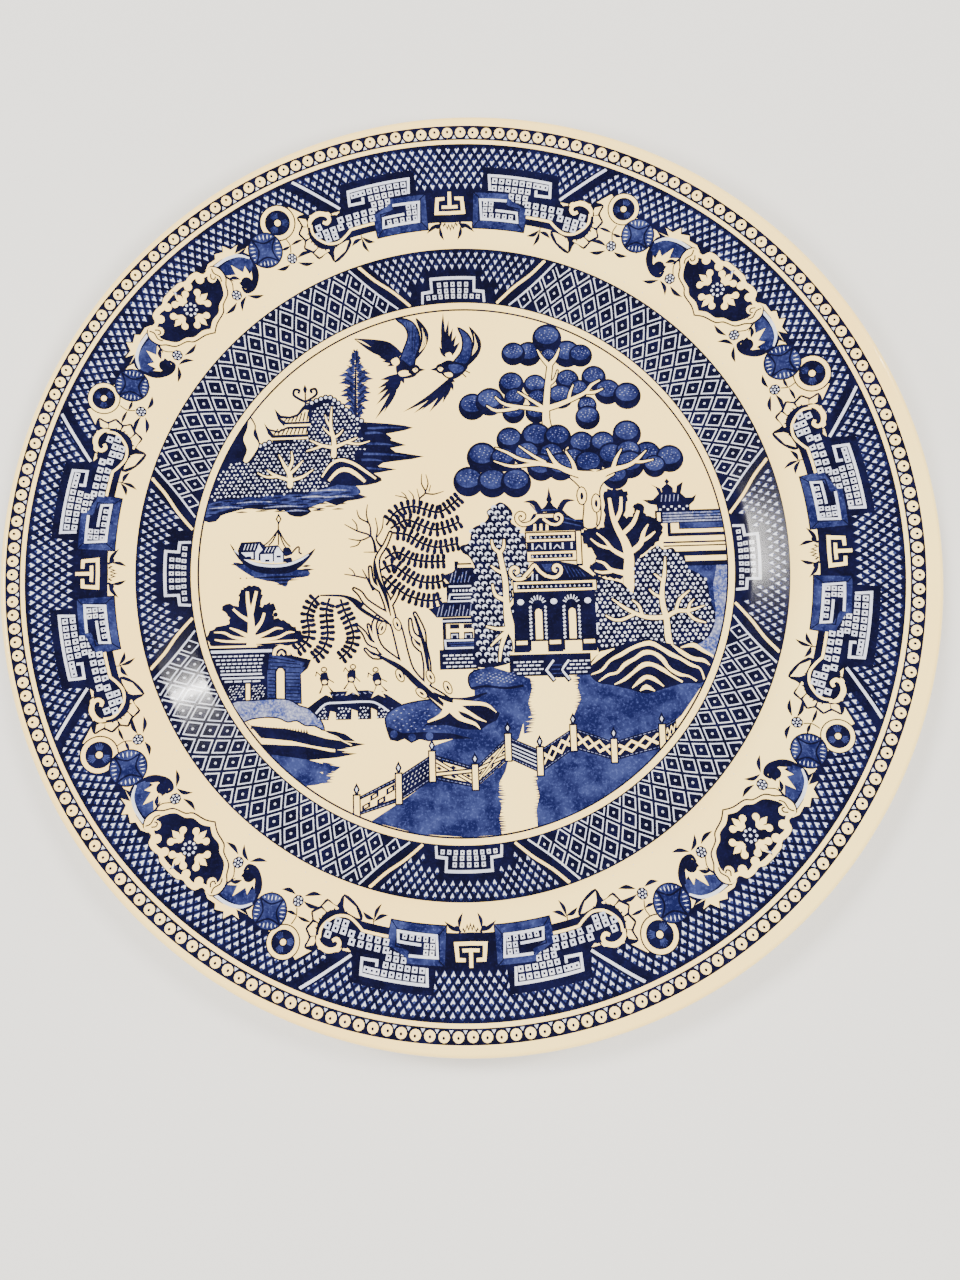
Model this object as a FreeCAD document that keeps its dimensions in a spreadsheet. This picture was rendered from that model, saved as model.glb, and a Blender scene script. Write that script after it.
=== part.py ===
import FreeCAD, Part
import math
import os
import Sketcher

# China dinner plate, printed in cobalt under a clear glaze. Millimetres, +Z up. The origin is on the
# plate's axis, in the plane that the foot ring rests on.
#
# The plate is one fired piece made of layers: the earthenware body, three printed transfers laid on
# its face, and the glaze melted over them. The body is turned from one profile. Every other layer is
# an offset of the body, so each of them follows the body when a size changes.

SIZES = [
    # alias, value, what it is
    ("plate_diameter", 260.0, "across the glazed rim"),
    ("plate_height", 24.0, "foot plane to the top of the glazed rim"),
    ("lip_thickness", 3.8, "body at the rim's edge"),
    ("verge_diameter", 186.0, "where the well's wall turns out into the rim"),
    ("verge_height", 16.4, "foot plane to the verge, on the body's face"),
    ("well_diameter", 158.0, "where the flat floor turns up into the wall"),
    ("wall_thickness", 4.3, "body in the well's wall and the inner rim"),
    ("floor_thickness", 4.6, "body in the middle of the well"),
    ("foot_diameter", 146.0, "outside of the foot ring"),
    ("foot_width", 4.4, "foot ring at its root"),
    ("foot_height", 2.7, "foot plane to the recess inside the foot ring"),
    ("foot_taper", 0.6, "how far each side of the foot ring leans in"),
    ("well_round", 13.0, "floor to wall"),
    ("verge_round", 11.0, "wall to rim"),
    ("under_round", 14.0, "underside of the wall, both turns"),
    ("lip_round", 1.7, "both edges of the lip"),
    ("foot_round", 0.9, "edges of the foot ring"),
    ("root_round", 1.2, "foot ring to the underside"),
    ("glaze_thickness", 0.25, "clear glaze over the body"),
    ("bare_foot_height", 0.6, "foot ring wiped clean of glaze"),
    ("film_thickness", 0.06, "printed film under the glaze"),
    ("rim_film_outer", 253.0, "outer diameter of the rim border"),
    ("rim_film_inner", 190.0, "inner diameter of the rim border"),
    ("verge_film_outer", 186.4, "outer diameter of the verge border"),
    ("verge_film_inner", 157.0, "inner diameter of the verge border"),
    ("scene_film_diameter", 153.0, "centre scene"),
]

HORIZONTAL_AXIS = -1  # Sketcher's numbers for a sketch's own axes and origin
VERTICAL_AXIS = -2
ORIGIN = (-1, 1)
START, END, CENTRE = 1, 2, 3  # Sketcher's numbers for the points of a line or an arc


def make_sheet(doc):
    """Put the driving sizes in a spreadsheet, one row each."""
    sheet = doc.addObject("Spreadsheet::Sheet", "Sizes")
    for row, (alias, value, meaning) in enumerate(SIZES, start=1):
        sheet.set(f"A{row}", alias)
        sheet.set(f"B{row}", str(value))
        sheet.set(f"C{row}", meaning)
        sheet.setAlias(f"B{row}", alias)
    doc.recompute()
    return sheet


def bind(item, **expressions):
    """Bind an object's properties to expressions of the sheet's sizes."""
    for name, expression in expressions.items():
        item.setExpression(name, expression)


class Profile:
    """A closed outline on a body's XZ plane: straight lines between corners, some of them rounded.

    Each corner is a point that the lines beside it run through, so a corner keeps its dimensions
    however large its rounding is.
    """

    def __init__(self, body, sheet, corners, rounds):
        self.sketch = body.newObject("Sketcher::SketchObject", "BodyProfile")
        planes = [f for f in body.Origin.OriginFeatures if f.Role == "XZ_Plane"]
        self.sketch.AttachmentSupport = [(planes[0], "")]
        self.sketch.MapMode = "FlatFace"
        self.names = list(corners)
        places = [FreeCAD.Vector(x, z, 0) for x, z in corners.values()]
        count = len(places)
        trims = [
            self.trim(places, i, getattr(sheet, rounds[name])) if name in rounds else 0.0
            for i, name in enumerate(self.names)
        ]
        for i, place in enumerate(places):
            along = places[(i + 1) % count] - place
            step = FreeCAD.Vector(along).normalize()
            first = place + step * trims[i]
            last = place + along - step * trims[(i + 1) % count]
            self.sketch.addGeometry(Part.LineSegment(first, last))
        self.points = [self.sketch.addGeometry(Part.Point(place), True) for place in places]
        self.arcs = {}
        for i, name in enumerate(self.names):
            before = (i - 1) % count
            if name in rounds:
                self.round(i, before, places, trims[i], rounds[name], getattr(sheet, rounds[name]))
            else:
                self.add("Coincident", before, END, i, START)
                self.add("Coincident", self.points[i], START, i, START)

    def add(self, kind, *where):
        return self.sketch.addConstraint(Sketcher.Constraint(kind, *where))

    def trim(self, places, i, size):
        """How much of each line beside a corner its rounding takes away."""
        back = places[i - 1] - places[i]
        forward = places[(i + 1) % len(places)] - places[i]
        return size / math.tan(back.getAngle(forward) / 2)

    def round(self, i, before, places, trim, alias, size):
        """Put an arc across a corner, tangent to both of its lines."""
        back = (places[before] - places[i]).normalize()
        forward = (places[(i + 1) % len(places)] - places[i]).normalize()
        to_centre = (back + forward).normalize()
        centre = places[i] + to_centre * math.hypot(trim, size)
        spokes = [places[i] + side * trim - centre for side in (back, forward)]
        angles = [math.atan2(spoke.y, spoke.x) for spoke in spokes]
        # An arc runs anticlockwise, so at a corner that turns clockwise it starts on the next line.
        clockwise = back.cross(forward).z > 0
        if clockwise:
            angles.reverse()
        first, last = (END, START) if clockwise else (START, END)
        circle = Part.Circle(centre, FreeCAD.Vector(0, 0, 1), size)
        arc = self.sketch.addGeometry(Part.ArcOfCircle(circle, *angles))
        self.add("Tangent", before, END, arc, first)
        self.add("Tangent", i, START, arc, last)
        self.add("PointOnObject", self.points[i], START, before)
        self.add("PointOnObject", self.points[i], START, i)
        name = self.names[i]
        self.arcs[name] = arc
        self.bound("Radius", f"{name}_round", (arc,), size, f"Sizes.{alias}")

    def bound(self, kind, name, where, value, expression):
        """Add one dimension and bind it to an expression."""
        index = self.sketch.addConstraint(Sketcher.Constraint(kind, *where, value))
        self.sketch.renameConstraint(index, name)
        self.sketch.setExpression(f"Constraints.{name}", expression)

    def line(self, corner):
        """The line that starts at a corner."""
        return self.names.index(corner)

    def point(self, corner):
        return self.points[self.names.index(corner)]

    def level(self, corner):
        """Keep the line that starts at a corner horizontal."""
        self.add("Horizontal", self.line(corner))

    def radius(self, corner, value, expression):
        where = (*ORIGIN, self.point(corner), START)
        self.bound("DistanceX", f"{corner}_radius", where, value, expression)

    def height(self, corner, value, expression):
        where = (*ORIGIN, self.point(corner), START)
        self.bound("DistanceY", f"{corner}_height", where, value, expression)

    def clear_of(self, corner, line, value, expression):
        """Keep a corner at a distance from the line that starts at another corner."""
        where = (self.point(corner), START, self.line(line))
        self.bound("Distance", f"{corner}_to_{line}", where, value, expression)


def make_body(doc, sheet):
    """The fired clay: one profile turned about the plate's axis."""
    rim = sheet.plate_diameter / 2 - sheet.glaze_thickness
    top = sheet.plate_height - sheet.glaze_thickness
    verge = sheet.verge_diameter / 2
    well = sheet.well_diameter / 2
    floor = sheet.foot_height + sheet.floor_thickness
    foot = sheet.foot_diameter / 2
    inner = foot - sheet.foot_width
    taper = sheet.foot_taper
    wall = sheet.wall_thickness
    # Where each corner starts. The dimensions below then settle it.
    corners = {
        "recess_centre": (0.0, sheet.foot_height),
        "foot_root_inner": (inner, sheet.foot_height),
        "foot_inner": (inner + taper, 0.0),
        "foot_outer": (foot - taper, 0.0),
        "foot_root_outer": (foot, sheet.foot_height),
        "under_well": (well + wall / 3, sheet.foot_height),
        "under_verge": (verge + wall / 3, sheet.verge_height - wall),
        "lip_lower": (rim, top - sheet.lip_thickness),
        "lip_upper": (rim, top),
        "verge": (verge, sheet.verge_height),
        "well_edge": (well, floor),
        "well_centre": (0.0, floor),
    }
    rounds = {
        "foot_root_inner": "root_round",
        "foot_inner": "foot_round",
        "foot_outer": "foot_round",
        "foot_root_outer": "root_round",
        "under_well": "under_round",
        "under_verge": "under_round",
        "lip_lower": "lip_round",
        "lip_upper": "lip_round",
        "verge": "verge_round",
        "well_edge": "well_round",
    }

    body = doc.addObject("PartDesign::Body", "earthenware_body")
    body.Label = "earthenware_body"
    profile = Profile(body, sheet, corners, rounds)
    for corner in ("recess_centre", "well_centre"):
        profile.add("PointOnObject", profile.point(corner), START, VERTICAL_AXIS)
    for corner in ("recess_centre", "foot_inner", "foot_root_outer", "well_edge"):
        profile.level(corner)
    profile.add("PointOnObject", profile.point("foot_inner"), START, HORIZONTAL_AXIS)

    foot_size = "Sizes.foot_diameter / 2"
    inner_size = f"{foot_size} - Sizes.foot_width"
    profile.height("foot_root_inner", sheet.foot_height, "Sizes.foot_height")
    profile.height("foot_root_outer", sheet.foot_height, "Sizes.foot_height")
    profile.radius("foot_root_inner", inner, inner_size)
    profile.radius("foot_root_outer", foot, foot_size)
    profile.radius("foot_inner", inner + taper, f"{inner_size} + Sizes.foot_taper")
    profile.radius("foot_outer", foot - taper, f"{foot_size} - Sizes.foot_taper")

    rim_size = "Sizes.plate_diameter / 2 - Sizes.glaze_thickness"
    top_size = "Sizes.plate_height - Sizes.glaze_thickness"
    profile.radius("lip_upper", rim, rim_size)
    profile.radius("lip_lower", rim, rim_size)
    lower = top - sheet.lip_thickness
    profile.height("lip_lower", lower, f"{top_size} - Sizes.lip_thickness")
    # The plate's height is measured to the top of the lip's rounding, not to its corner.
    crown = (*ORIGIN, profile.arcs["lip_upper"], CENTRE)
    crown_height = top - sheet.lip_round
    profile.bound("DistanceY", "lip_crown", crown, crown_height, f"{top_size} - Sizes.lip_round")

    profile.radius("verge", verge, "Sizes.verge_diameter / 2")
    profile.height("verge", sheet.verge_height, "Sizes.verge_height")
    profile.radius("well_edge", well, "Sizes.well_diameter / 2")
    profile.height("well_edge", floor, "Sizes.foot_height + Sizes.floor_thickness")
    # The wall's underside runs parallel to its face, one wall thickness below it.
    profile.add("Parallel", profile.line("under_well"), profile.line("verge"))
    profile.clear_of("under_verge", "verge", wall, "Sizes.wall_thickness")
    profile.clear_of("under_verge", "lip_upper", wall, "Sizes.wall_thickness")
    doc.recompute()

    turned = body.newObject("PartDesign::Revolution", "BodyTurned")
    turned.Profile = profile.sketch
    turned.ReferenceAxis = (profile.sketch, ["V_Axis"])
    turned.Angle = 360
    doc.recompute()
    return body


def make_skin(doc, body, name, thickness):
    """The layer of even thickness that lies all over the body."""
    grown = doc.addObject("Part::Offset", f"{name}Grown")
    grown.Source = body
    bind(grown, Value=thickness)
    skin = doc.addObject("Part::Cut", f"{name}Skin")
    skin.Base = grown
    skin.Tool = body
    doc.recompute()
    return skin


def make_disc(doc, name, diameter, low="0", high="Sizes.plate_height * 2"):
    """A cylinder on the plate's axis, used to cut a ring or a disc out of a skin."""
    disc = doc.addObject("Part::Cylinder", name)
    bind(disc, Radius=f"{diameter} / 2", Height=f"({high}) - ({low})")
    bind(disc, **{"Placement.Base.z": low})
    return disc


def make_film(doc, skin, label, outer, inner=None):
    """A printed film on the plate's face: what one disc or ring cuts out of the face's skin."""
    stamp = make_disc(doc, f"{label}_outer", f"Sizes.{outer}")
    if inner:
        ring = doc.addObject("Part::Cut", f"{label}_ring")
        ring.Base = stamp
        ring.Tool = make_disc(doc, f"{label}_inner", f"Sizes.{inner}")
        stamp = ring
    film = doc.addObject("Part::Common", label)
    film.Label = label
    film.Base = skin
    film.Tool = stamp
    return film


def make_films(doc, body):
    """The three transfers, all cut from one thin skin on the body's face."""
    skin = make_skin(doc, body, "Film", "Sizes.film_thickness")
    # The body moved down by half a wall swallows the skin under the plate and leaves the face's.
    lowered = doc.addObject("Part::Compound", "LoweredBody")
    lowered.Links = [body]
    bind(lowered, **{"Placement.Base.z": "-Sizes.wall_thickness / 2"})
    face = doc.addObject("Part::Cut", "FaceSkin")
    face.Base = skin
    face.Tool = lowered
    return [
        make_film(doc, face, "rim_border_transfer", "rim_film_outer", "rim_film_inner"),
        make_film(doc, face, "verge_border_transfer", "verge_film_outer", "verge_film_inner"),
        make_film(doc, face, "centre_scene_transfer", "scene_film_diameter"),
    ]


def make_glaze(doc, body, films):
    """The glaze, less the films under it and the foot ring's bare edge, which parts it in two."""
    coat = make_skin(doc, body, "Glaze", "Sizes.glaze_thickness")
    wiped = make_disc(
        doc, "WipedFoot", "Sizes.foot_diameter * 2", "-Sizes.foot_height", "Sizes.bare_foot_height"
    )
    taken = doc.addObject("Part::MultiFuse", "TakenFromGlaze")
    taken.Shapes = [wiped, *films]
    left = doc.addObject("Part::Cut", "GlazeLeft")
    left.Base = coat
    left.Tool = taken
    middle_of_foot = "(Sizes.foot_diameter - Sizes.foot_width)"
    middle_of_floor = "Sizes.foot_height + Sizes.floor_thickness / 2"
    recess = make_disc(doc, "Recess", middle_of_foot, "0", middle_of_floor)
    face = doc.addObject("Part::Cut", "face_glaze")
    face.Base = left
    face.Tool = recess
    under = doc.addObject("Part::Common", "recess_glaze")
    under.Base = left
    under.Tool = recess
    for glaze in (face, under):
        glaze.Label = glaze.Name
    return [face, under]


def check(doc, nodes):
    """Stop if anything failed to build."""
    for item in doc.Objects:
        bad = {"Invalid", "Error"} & set(item.State)
        if bad:
            raise RuntimeError(f"{item.Label} is {bad}")
        if item.isDerivedFrom("Sketcher::SketchObject") and not item.FullyConstrained:
            raise RuntimeError(f"{item.Label} is not fully constrained")
    for node in nodes:
        if node.Shape.isNull() or not node.Shape.isValid():
            raise RuntimeError(f"{node.Label} has no valid shape")
        if len(node.Shape.Solids) != 1:
            raise RuntimeError(f"{node.Label} is {len(node.Shape.Solids)} solids, not 1")


def main():
    doc = FreeCAD.newDocument("DinnerPlate")
    sheet = make_sheet(doc)
    body = make_body(doc, sheet)
    films = make_films(doc, body)
    doc.recompute()
    glazes = make_glaze(doc, body, films)
    doc.recompute()
    nodes = [body, *films, *glazes]
    check(doc, nodes)
    os.makedirs("parts", exist_ok=True)
    for node in nodes:
        node.Shape.exportStep(f"parts/{node.Label}.step")
        box = node.Shape.BoundBox
        size = f"{box.XLength:.2f} x {box.YLength:.2f} x {box.ZLength:.2f}"
        print(f"{node.Label}: {size} mm, {node.Shape.Volume:.0f} mm3")


main()
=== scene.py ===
import math

import bpy
from mathutils import Matrix, Vector
from mathutils.geometry import delaunay_2d_cdt


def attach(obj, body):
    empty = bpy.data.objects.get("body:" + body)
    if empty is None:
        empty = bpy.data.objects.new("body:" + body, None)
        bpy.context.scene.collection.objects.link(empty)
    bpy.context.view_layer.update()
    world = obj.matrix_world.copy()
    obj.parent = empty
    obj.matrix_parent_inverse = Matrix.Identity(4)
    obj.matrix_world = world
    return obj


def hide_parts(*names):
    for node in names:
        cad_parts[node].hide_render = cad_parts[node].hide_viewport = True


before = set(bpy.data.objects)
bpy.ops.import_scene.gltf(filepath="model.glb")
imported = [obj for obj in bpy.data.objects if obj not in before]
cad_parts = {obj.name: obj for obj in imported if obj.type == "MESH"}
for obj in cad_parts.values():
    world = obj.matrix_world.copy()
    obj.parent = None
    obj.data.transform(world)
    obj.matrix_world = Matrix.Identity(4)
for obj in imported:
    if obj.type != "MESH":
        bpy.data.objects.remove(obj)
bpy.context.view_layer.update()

# --- drawing tools ---------------------------------------------------------------------------------
# The print is drawn flat, in millimetres, as outlines in painting order. Each outline has one tone,
# and a later outline hides what lies under it. "bare" is glaze with nothing printed.

INK, WASH, STIPPLE, MIST, BARE = "ink", "wash", "stipple", "mist", "bare"


def smooth(points, steps=5, closed=False):
    """A Catmull-Rom curve through points of any number of coordinates."""
    count = len(points)
    spans = count if closed else count - 1
    curve = []
    for i in range(spans):
        if closed:
            near = [points[(i + k) % count] for k in (-1, 0, 1, 2)]
        else:
            near = [points[min(max(i + k, 0), count - 1)] for k in (-1, 0, 1, 2)]
        for step in range(steps):
            t = step / steps
            weights = (
                (-t + 2 * t * t - t**3) / 2,
                (2 - 5 * t * t + 3 * t**3) / 2,
                (t + 4 * t * t - 3 * t**3) / 2,
                (-t * t + t**3) / 2,
            )
            curve.append(tuple(sum(w * p[k] for w, p in zip(weights, near)) for k in range(len(near[0]))))
    if not closed:
        curve.append(tuple(points[-1]))
    return curve


def unit(a, b):
    """The direction from one point to another, or None where they coincide."""
    length = math.dist(a[:2], b[:2])
    return ((b[0] - a[0]) / length, (b[1] - a[1]) / length) if length > 1e-6 else None


class Pen:
    """Draws outlines into a shared list, through a placing of its own."""

    def __init__(self, shapes, place, reach=None):
        """place turns the pen's own coordinates into the print's. Edges longer than reach are divided."""
        self.shapes = shapes
        self.place = place
        self.reach = reach

    def at(self, x, y, turn=0.0, size=1.0, flip=False):
        """A pen whose origin is at a point of this pen's, turned, scaled or mirrored."""
        cos, sin = math.cos(math.radians(turn)) * size, math.sin(math.radians(turn)) * size
        side = -1 if flip else 1
        outer = self.place

        def place(px, py):
            """A point of the new pen's, in the print's coordinates."""
            px = px * side
            return outer(x + px * cos - py * sin, y + px * sin + py * cos)

        return Pen(self.shapes, place, self.reach)

    def fill(self, tone, points):
        """Fill an outline of straight edges."""
        if self.reach:
            points = [p for a, b in zip(points, points[1:] + points[:1]) for p in self.divide(a, b)]
        self.shapes.append((tone, [self.place(x, y) for x, y, *_ in points]))

    def divide(self, a, b):
        """The start of an edge and the points that cut it into pieces no longer than the pen's reach."""
        pieces = max(1, math.ceil(math.dist(a[:2], b[:2]) / self.reach))
        return [(a[0] + (b[0] - a[0]) * k / pieces, a[1] + (b[1] - a[1]) * k / pieces) for k in range(pieces)]

    def blob(self, tone, points, steps=4):
        """Fill a closed smooth outline."""
        self.fill(tone, smooth(points, steps, closed=True))

    def box(self, tone, x0, y0, x1, y1):
        """Fill a rectangle from its lower left corner to its upper right one."""
        self.fill(tone, [(x0, y0), (x1, y0), (x1, y1), (x0, y1)])

    def disc(self, tone, x, y, radius, tall=None, sides=14):
        """Fill a circle, or an oval whose half height is tall."""
        turns = [2 * math.pi * k / sides for k in range(sides)]
        tall = tall or radius
        self.fill(tone, [(x + radius * math.cos(a), y + tall * math.sin(a)) for a in turns])

    def band(self, tone, route, closed=False):
        """Fill a line whose width is each point's third number, span by span, with mitred joints."""
        count = len(route)
        sides = []
        for i, (x, y, width) in enumerate(route):
            before = unit(route[i - 1], route[i]) if closed or i else None
            after = unit(route[i], route[(i + 1) % count]) if closed or i + 1 < count else None
            ax, ay = before or after or (1.0, 0.0)
            bx, by = after or before or (1.0, 0.0)
            nx, ny = -(ay + by), ax + bx
            reach = nx * nx + ny * ny
            half = width / max(reach, 1.0)
            sides.append(((x + nx * half, y + ny * half), (x - nx * half, y - ny * half)))
        for i in range(count if closed else count - 1):
            left, right = sides[i]
            left_next, right_next = sides[(i + 1) % count]
            self.fill(tone, [right, right_next, left_next, left])

    def line(self, tone, width, points, closed=False):
        """A line of straight runs and even width."""
        self.band(tone, [(x, y, width) for x, y in points], closed)

    def curve(self, tone, width, points, steps=4):
        """A smooth line of even width."""
        self.line(tone, width, smooth(points, steps))

    def brush(self, tone, points, steps=4):
        """A smooth stroke through points of (x, y, width)."""
        self.band(tone, [(x, y, max(w, 0.02)) for x, y, w in smooth(points, steps)])

    def leaf(self, tone, x0, y0, x1, y1, width, bow=0.0):
        """A pointed leaf from one point to another. bow bends it to its left."""
        mx, my = (x0 + x1) / 2 - (y1 - y0) * bow, (y0 + y1) / 2 + (x1 - x0) * bow
        self.brush(tone, [(x0, y0, width * 0.1), (mx, my, width), (x1, y1, 0.03)], steps=5)


def between(knots, x):
    """The height at x of a line through knots."""
    for (x0, y0), (x1, y1) in zip(knots, knots[1:]):
        if x0 <= x <= x1:
            return y0 + (y1 - y0) * (x - x0) / max(x1 - x0, 1e-9)
    return knots[-1][1]


def inside(outline, x, y):
    """Whether a point lies in an outline, counting its turns round the point."""
    turns = 0
    for (ax, ay), (bx, by) in zip(outline, outline[1:] + outline[:1]):
        if (ay <= y) != (by <= y) and x < ax + (y - ay) * (bx - ax) / (by - ay):
            turns += 1 if by > ay else -1
    return turns != 0


def ring_pen(shapes, radius, turn):
    """A pen on a ring: x runs clockwise along the ring at a radius, y is the distance from the centre."""

    def place(x, y):
        """A point of the ring, in the print's coordinates."""
        angle = math.radians(turn) - x / radius
        return y * math.cos(angle), y * math.sin(angle)

    return Pen(shapes, place, reach=2.0)


HOOP_SIDES = 240


def hoop(shapes, tone, outer, inner):
    """Fill a ring about the middle of the print, span by span."""
    whole = ring_pen(shapes, 1.0, 90)
    for k in range(HOOP_SIDES):
        a, b = (2 * math.pi * n / HOOP_SIDES for n in (k, k + 1))
        whole.fill(tone, [(a, outer), (b, outer), (b, inner), (a, inner)])


def hearts(pen, across, up, columns, rows, wanted, size=1.0):
    """The small notched hearts of the borders' lattice, each in a blue lozenge, where they are wanted."""
    for row in range(rows):
        y = up[0] - row * up[1]
        for column in range(columns + 1):
            x = (column + (row % 2) / 2) * across
            if x > columns * across + 0.01 or not wanted(x, y):
                continue
            cell = pen.at(x, y, size=size)
            cell.fill(WASH, [(0.0, -1.15), (0.85, 0.15), (0.0, 1.2), (-0.85, 0.15)])
            cell.fill(MIST, [(-0.05, -0.85), (0.56, 0.3), (0.45, 0.66), (0.05, 0.22), (-0.4, 0.44),
                             (-0.54, 0.18)])


def dotted_squares(pen, size, rows):
    """Rows of small open squares with a dot: each row is y, first x, pitch and count."""
    for y, x, pitch, count in rows:
        for k in range(count):
            left = x + k * pitch - size / 2
            pen.box(MIST, left, y - size / 2, left + size, y + size / 2)
            pen.box(INK, left + size * 0.3, y - size * 0.2, left + size * 0.68, y + size * 0.18)


# --- rim border ------------------------------------------------------------------------------------

RIM_RADIUS = 110.0  # x along the rim's repeat is measured on this radius
RIM_HALF = RIM_RADIUS * math.pi / 4
BEADS = 208


def bead_band(shapes):
    """A ring of beads on a dark band, and the dark line inside it."""
    hoop(shapes, INK, 126.5, 122.65)
    hoop(shapes, INK, 121.5, 120.9)
    for k in range(BEADS):
        wander = 0.12 * math.sin(k * 2.1) + 0.08 * math.sin(k * 5.3)
        pen = ring_pen(shapes, RIM_RADIUS, 90 - 360 * k / BEADS)
        pen.fill(MIST, [(-2.1, 123.05), (-1.1, 123.05), (-1.6, 123.95)])
        pen.disc(BARE, 0, 124.65 + wander / 2, 1.33, 1.42, sides=12)
        pen.disc(INK, wander, 124.85 + wander, 0.34, 0.42, sides=6)


def sprig_leaves(pen, leaves, width=1.1):
    """Leaves given by their two ends and their bow."""
    for x0, y0, x1, y1, bow in leaves:
        pen.leaf(INK, x0, y0, x1, y1, width, bow)


def berries(pen, x, y):
    """A cluster of seven white berries on a dark head."""
    pen.disc(INK, x, y, 1.65, 1.6, sides=8)
    for k in range(6):
        angle = k * math.pi / 3
        pen.disc(MIST, x + 0.98 * math.cos(angle), y + 0.98 * math.sin(angle), 0.33, sides=6)
    pen.disc(MIST, x, y, 0.33, sides=6)


def key_block(pen):
    """Half of the small key at the middle of a repeat, and the lotus under it."""
    pen.box(INK, -0.02, 100.0, 10.4, 108.7)
    pen.fill(BARE, [(-0.02, 102.0), (4.9, 102.2), (4.15, 107.0), (1.5, 107.0), (1.5, 106.1),
                    (3.25, 106.0), (3.5, 103.1), (-0.02, 103.0)])
    pen.fill(BARE, [(-0.02, 103.7), (2.5, 103.8), (2.35, 104.7), (0.55, 104.6), (0.5, 108.4), (-0.02, 108.4)])
    pen.fill(INK, [(-0.02, 100.2), (3.6, 100.2), (3.4, 99.2), (2.6, 99.6), (2.2, 98.6), (1.6, 99.4),
                   (1.0, 97.7), (0.5, 98.9), (-0.02, 97.3)])
    pen.fill(BARE, [(-0.02, 99.8), (2.9, 99.9), (2.3, 99.2), (1.7, 100.0), (1.0, 98.5), (0.5, 99.6),
                    (-0.02, 98.1)])
    sprig_leaves(pen, [(2.6, 99.6, 7.9, 97.2, 0.08), (3.4, 99.0, 2.3, 95.0, 0.1),
                       (2.9, 99.5, 5.4, 99.0, -0.2)])


def meander(pen):
    """Half repeat's fret: a dark mass, a pale hooked outline and rows of dotted squares."""
    pen.fill(INK, [(9.0, 100.5), (9.8, 115.3), (31.0, 115.5), (31.6, 112.0), (32.6, 108.8), (34.6, 107.6),
                   (34.2, 102.4), (33.5, 100.6), (24.0, 100.5)])
    pen.fill(INK, [(9.8, 108.0), (9.8, 115.3), (31.0, 115.5), (31.6, 108.0)])
    pen.line(MIST, 0.75, [(12.0, 108.9), (11.5, 113.0), (29.0, 113.0), (29.7, 109.3), (25.6, 109.0),
                          (25.4, 110.4)])
    dotted_squares(pen, 1.45, [(111.6, 13.2, 1.98, 7), (109.6, 13.2, 1.98, 6), (107.75, 18.5, 2.1, 3),
                               (106.0, 18.7, 2.1, 3), (111.6, 26.4, 1.5, 2)])
    # The lower fret is a bevelled frame in mid blue.
    pen.fill(INK, [(7.0, 98.1), (6.9, 108.4), (24.2, 105.6), (24.2, 98.2)])
    pen.fill(WASH, [(7.3, 98.4), (7.2, 108.1), (17.6, 108.3), (18.0, 107.0), (22.0, 105.2), (23.9, 104.8),
                    (23.9, 98.5)])
    pen.line(INK, 0.3, [(7.2, 98.4), (9.2, 100.6), (8.8, 107.0), (7.2, 108.2)])
    pen.line(INK, 0.3, [(23.9, 98.5), (21.7, 100.4), (9.2, 100.6)])
    pen.line(INK, 0.35, [(21.7, 100.4), (21.4, 104.6), (17.8, 104.9)])
    pen.fill(INK, [(9.6, 101.0), (9.2, 106.6), (17.6, 106.6), (17.4, 105.4), (21.2, 103.9), (21.3, 100.9)])
    pen.line(MIST, 0.7, [(17.3, 106.4), (9.3, 106.2), (10.0, 100.9), (21.4, 100.9), (20.8, 103.4),
                         (14.2, 103.5)])
    dotted_squares(pen, 1.3, [(105.2, 10.95, 1.75, 2), (103.6, 10.95, 1.75, 2), (101.95, 11.0, 2.05, 5)])
    pen.line(BARE, 0.75, [(23.9, 102.7), (31.6, 102.8)])
    dotted_squares(pen, 1.6, [(106.1, 23.8, 2.42, 4), (104.1, 24.2, 2.42, 4)])


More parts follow.
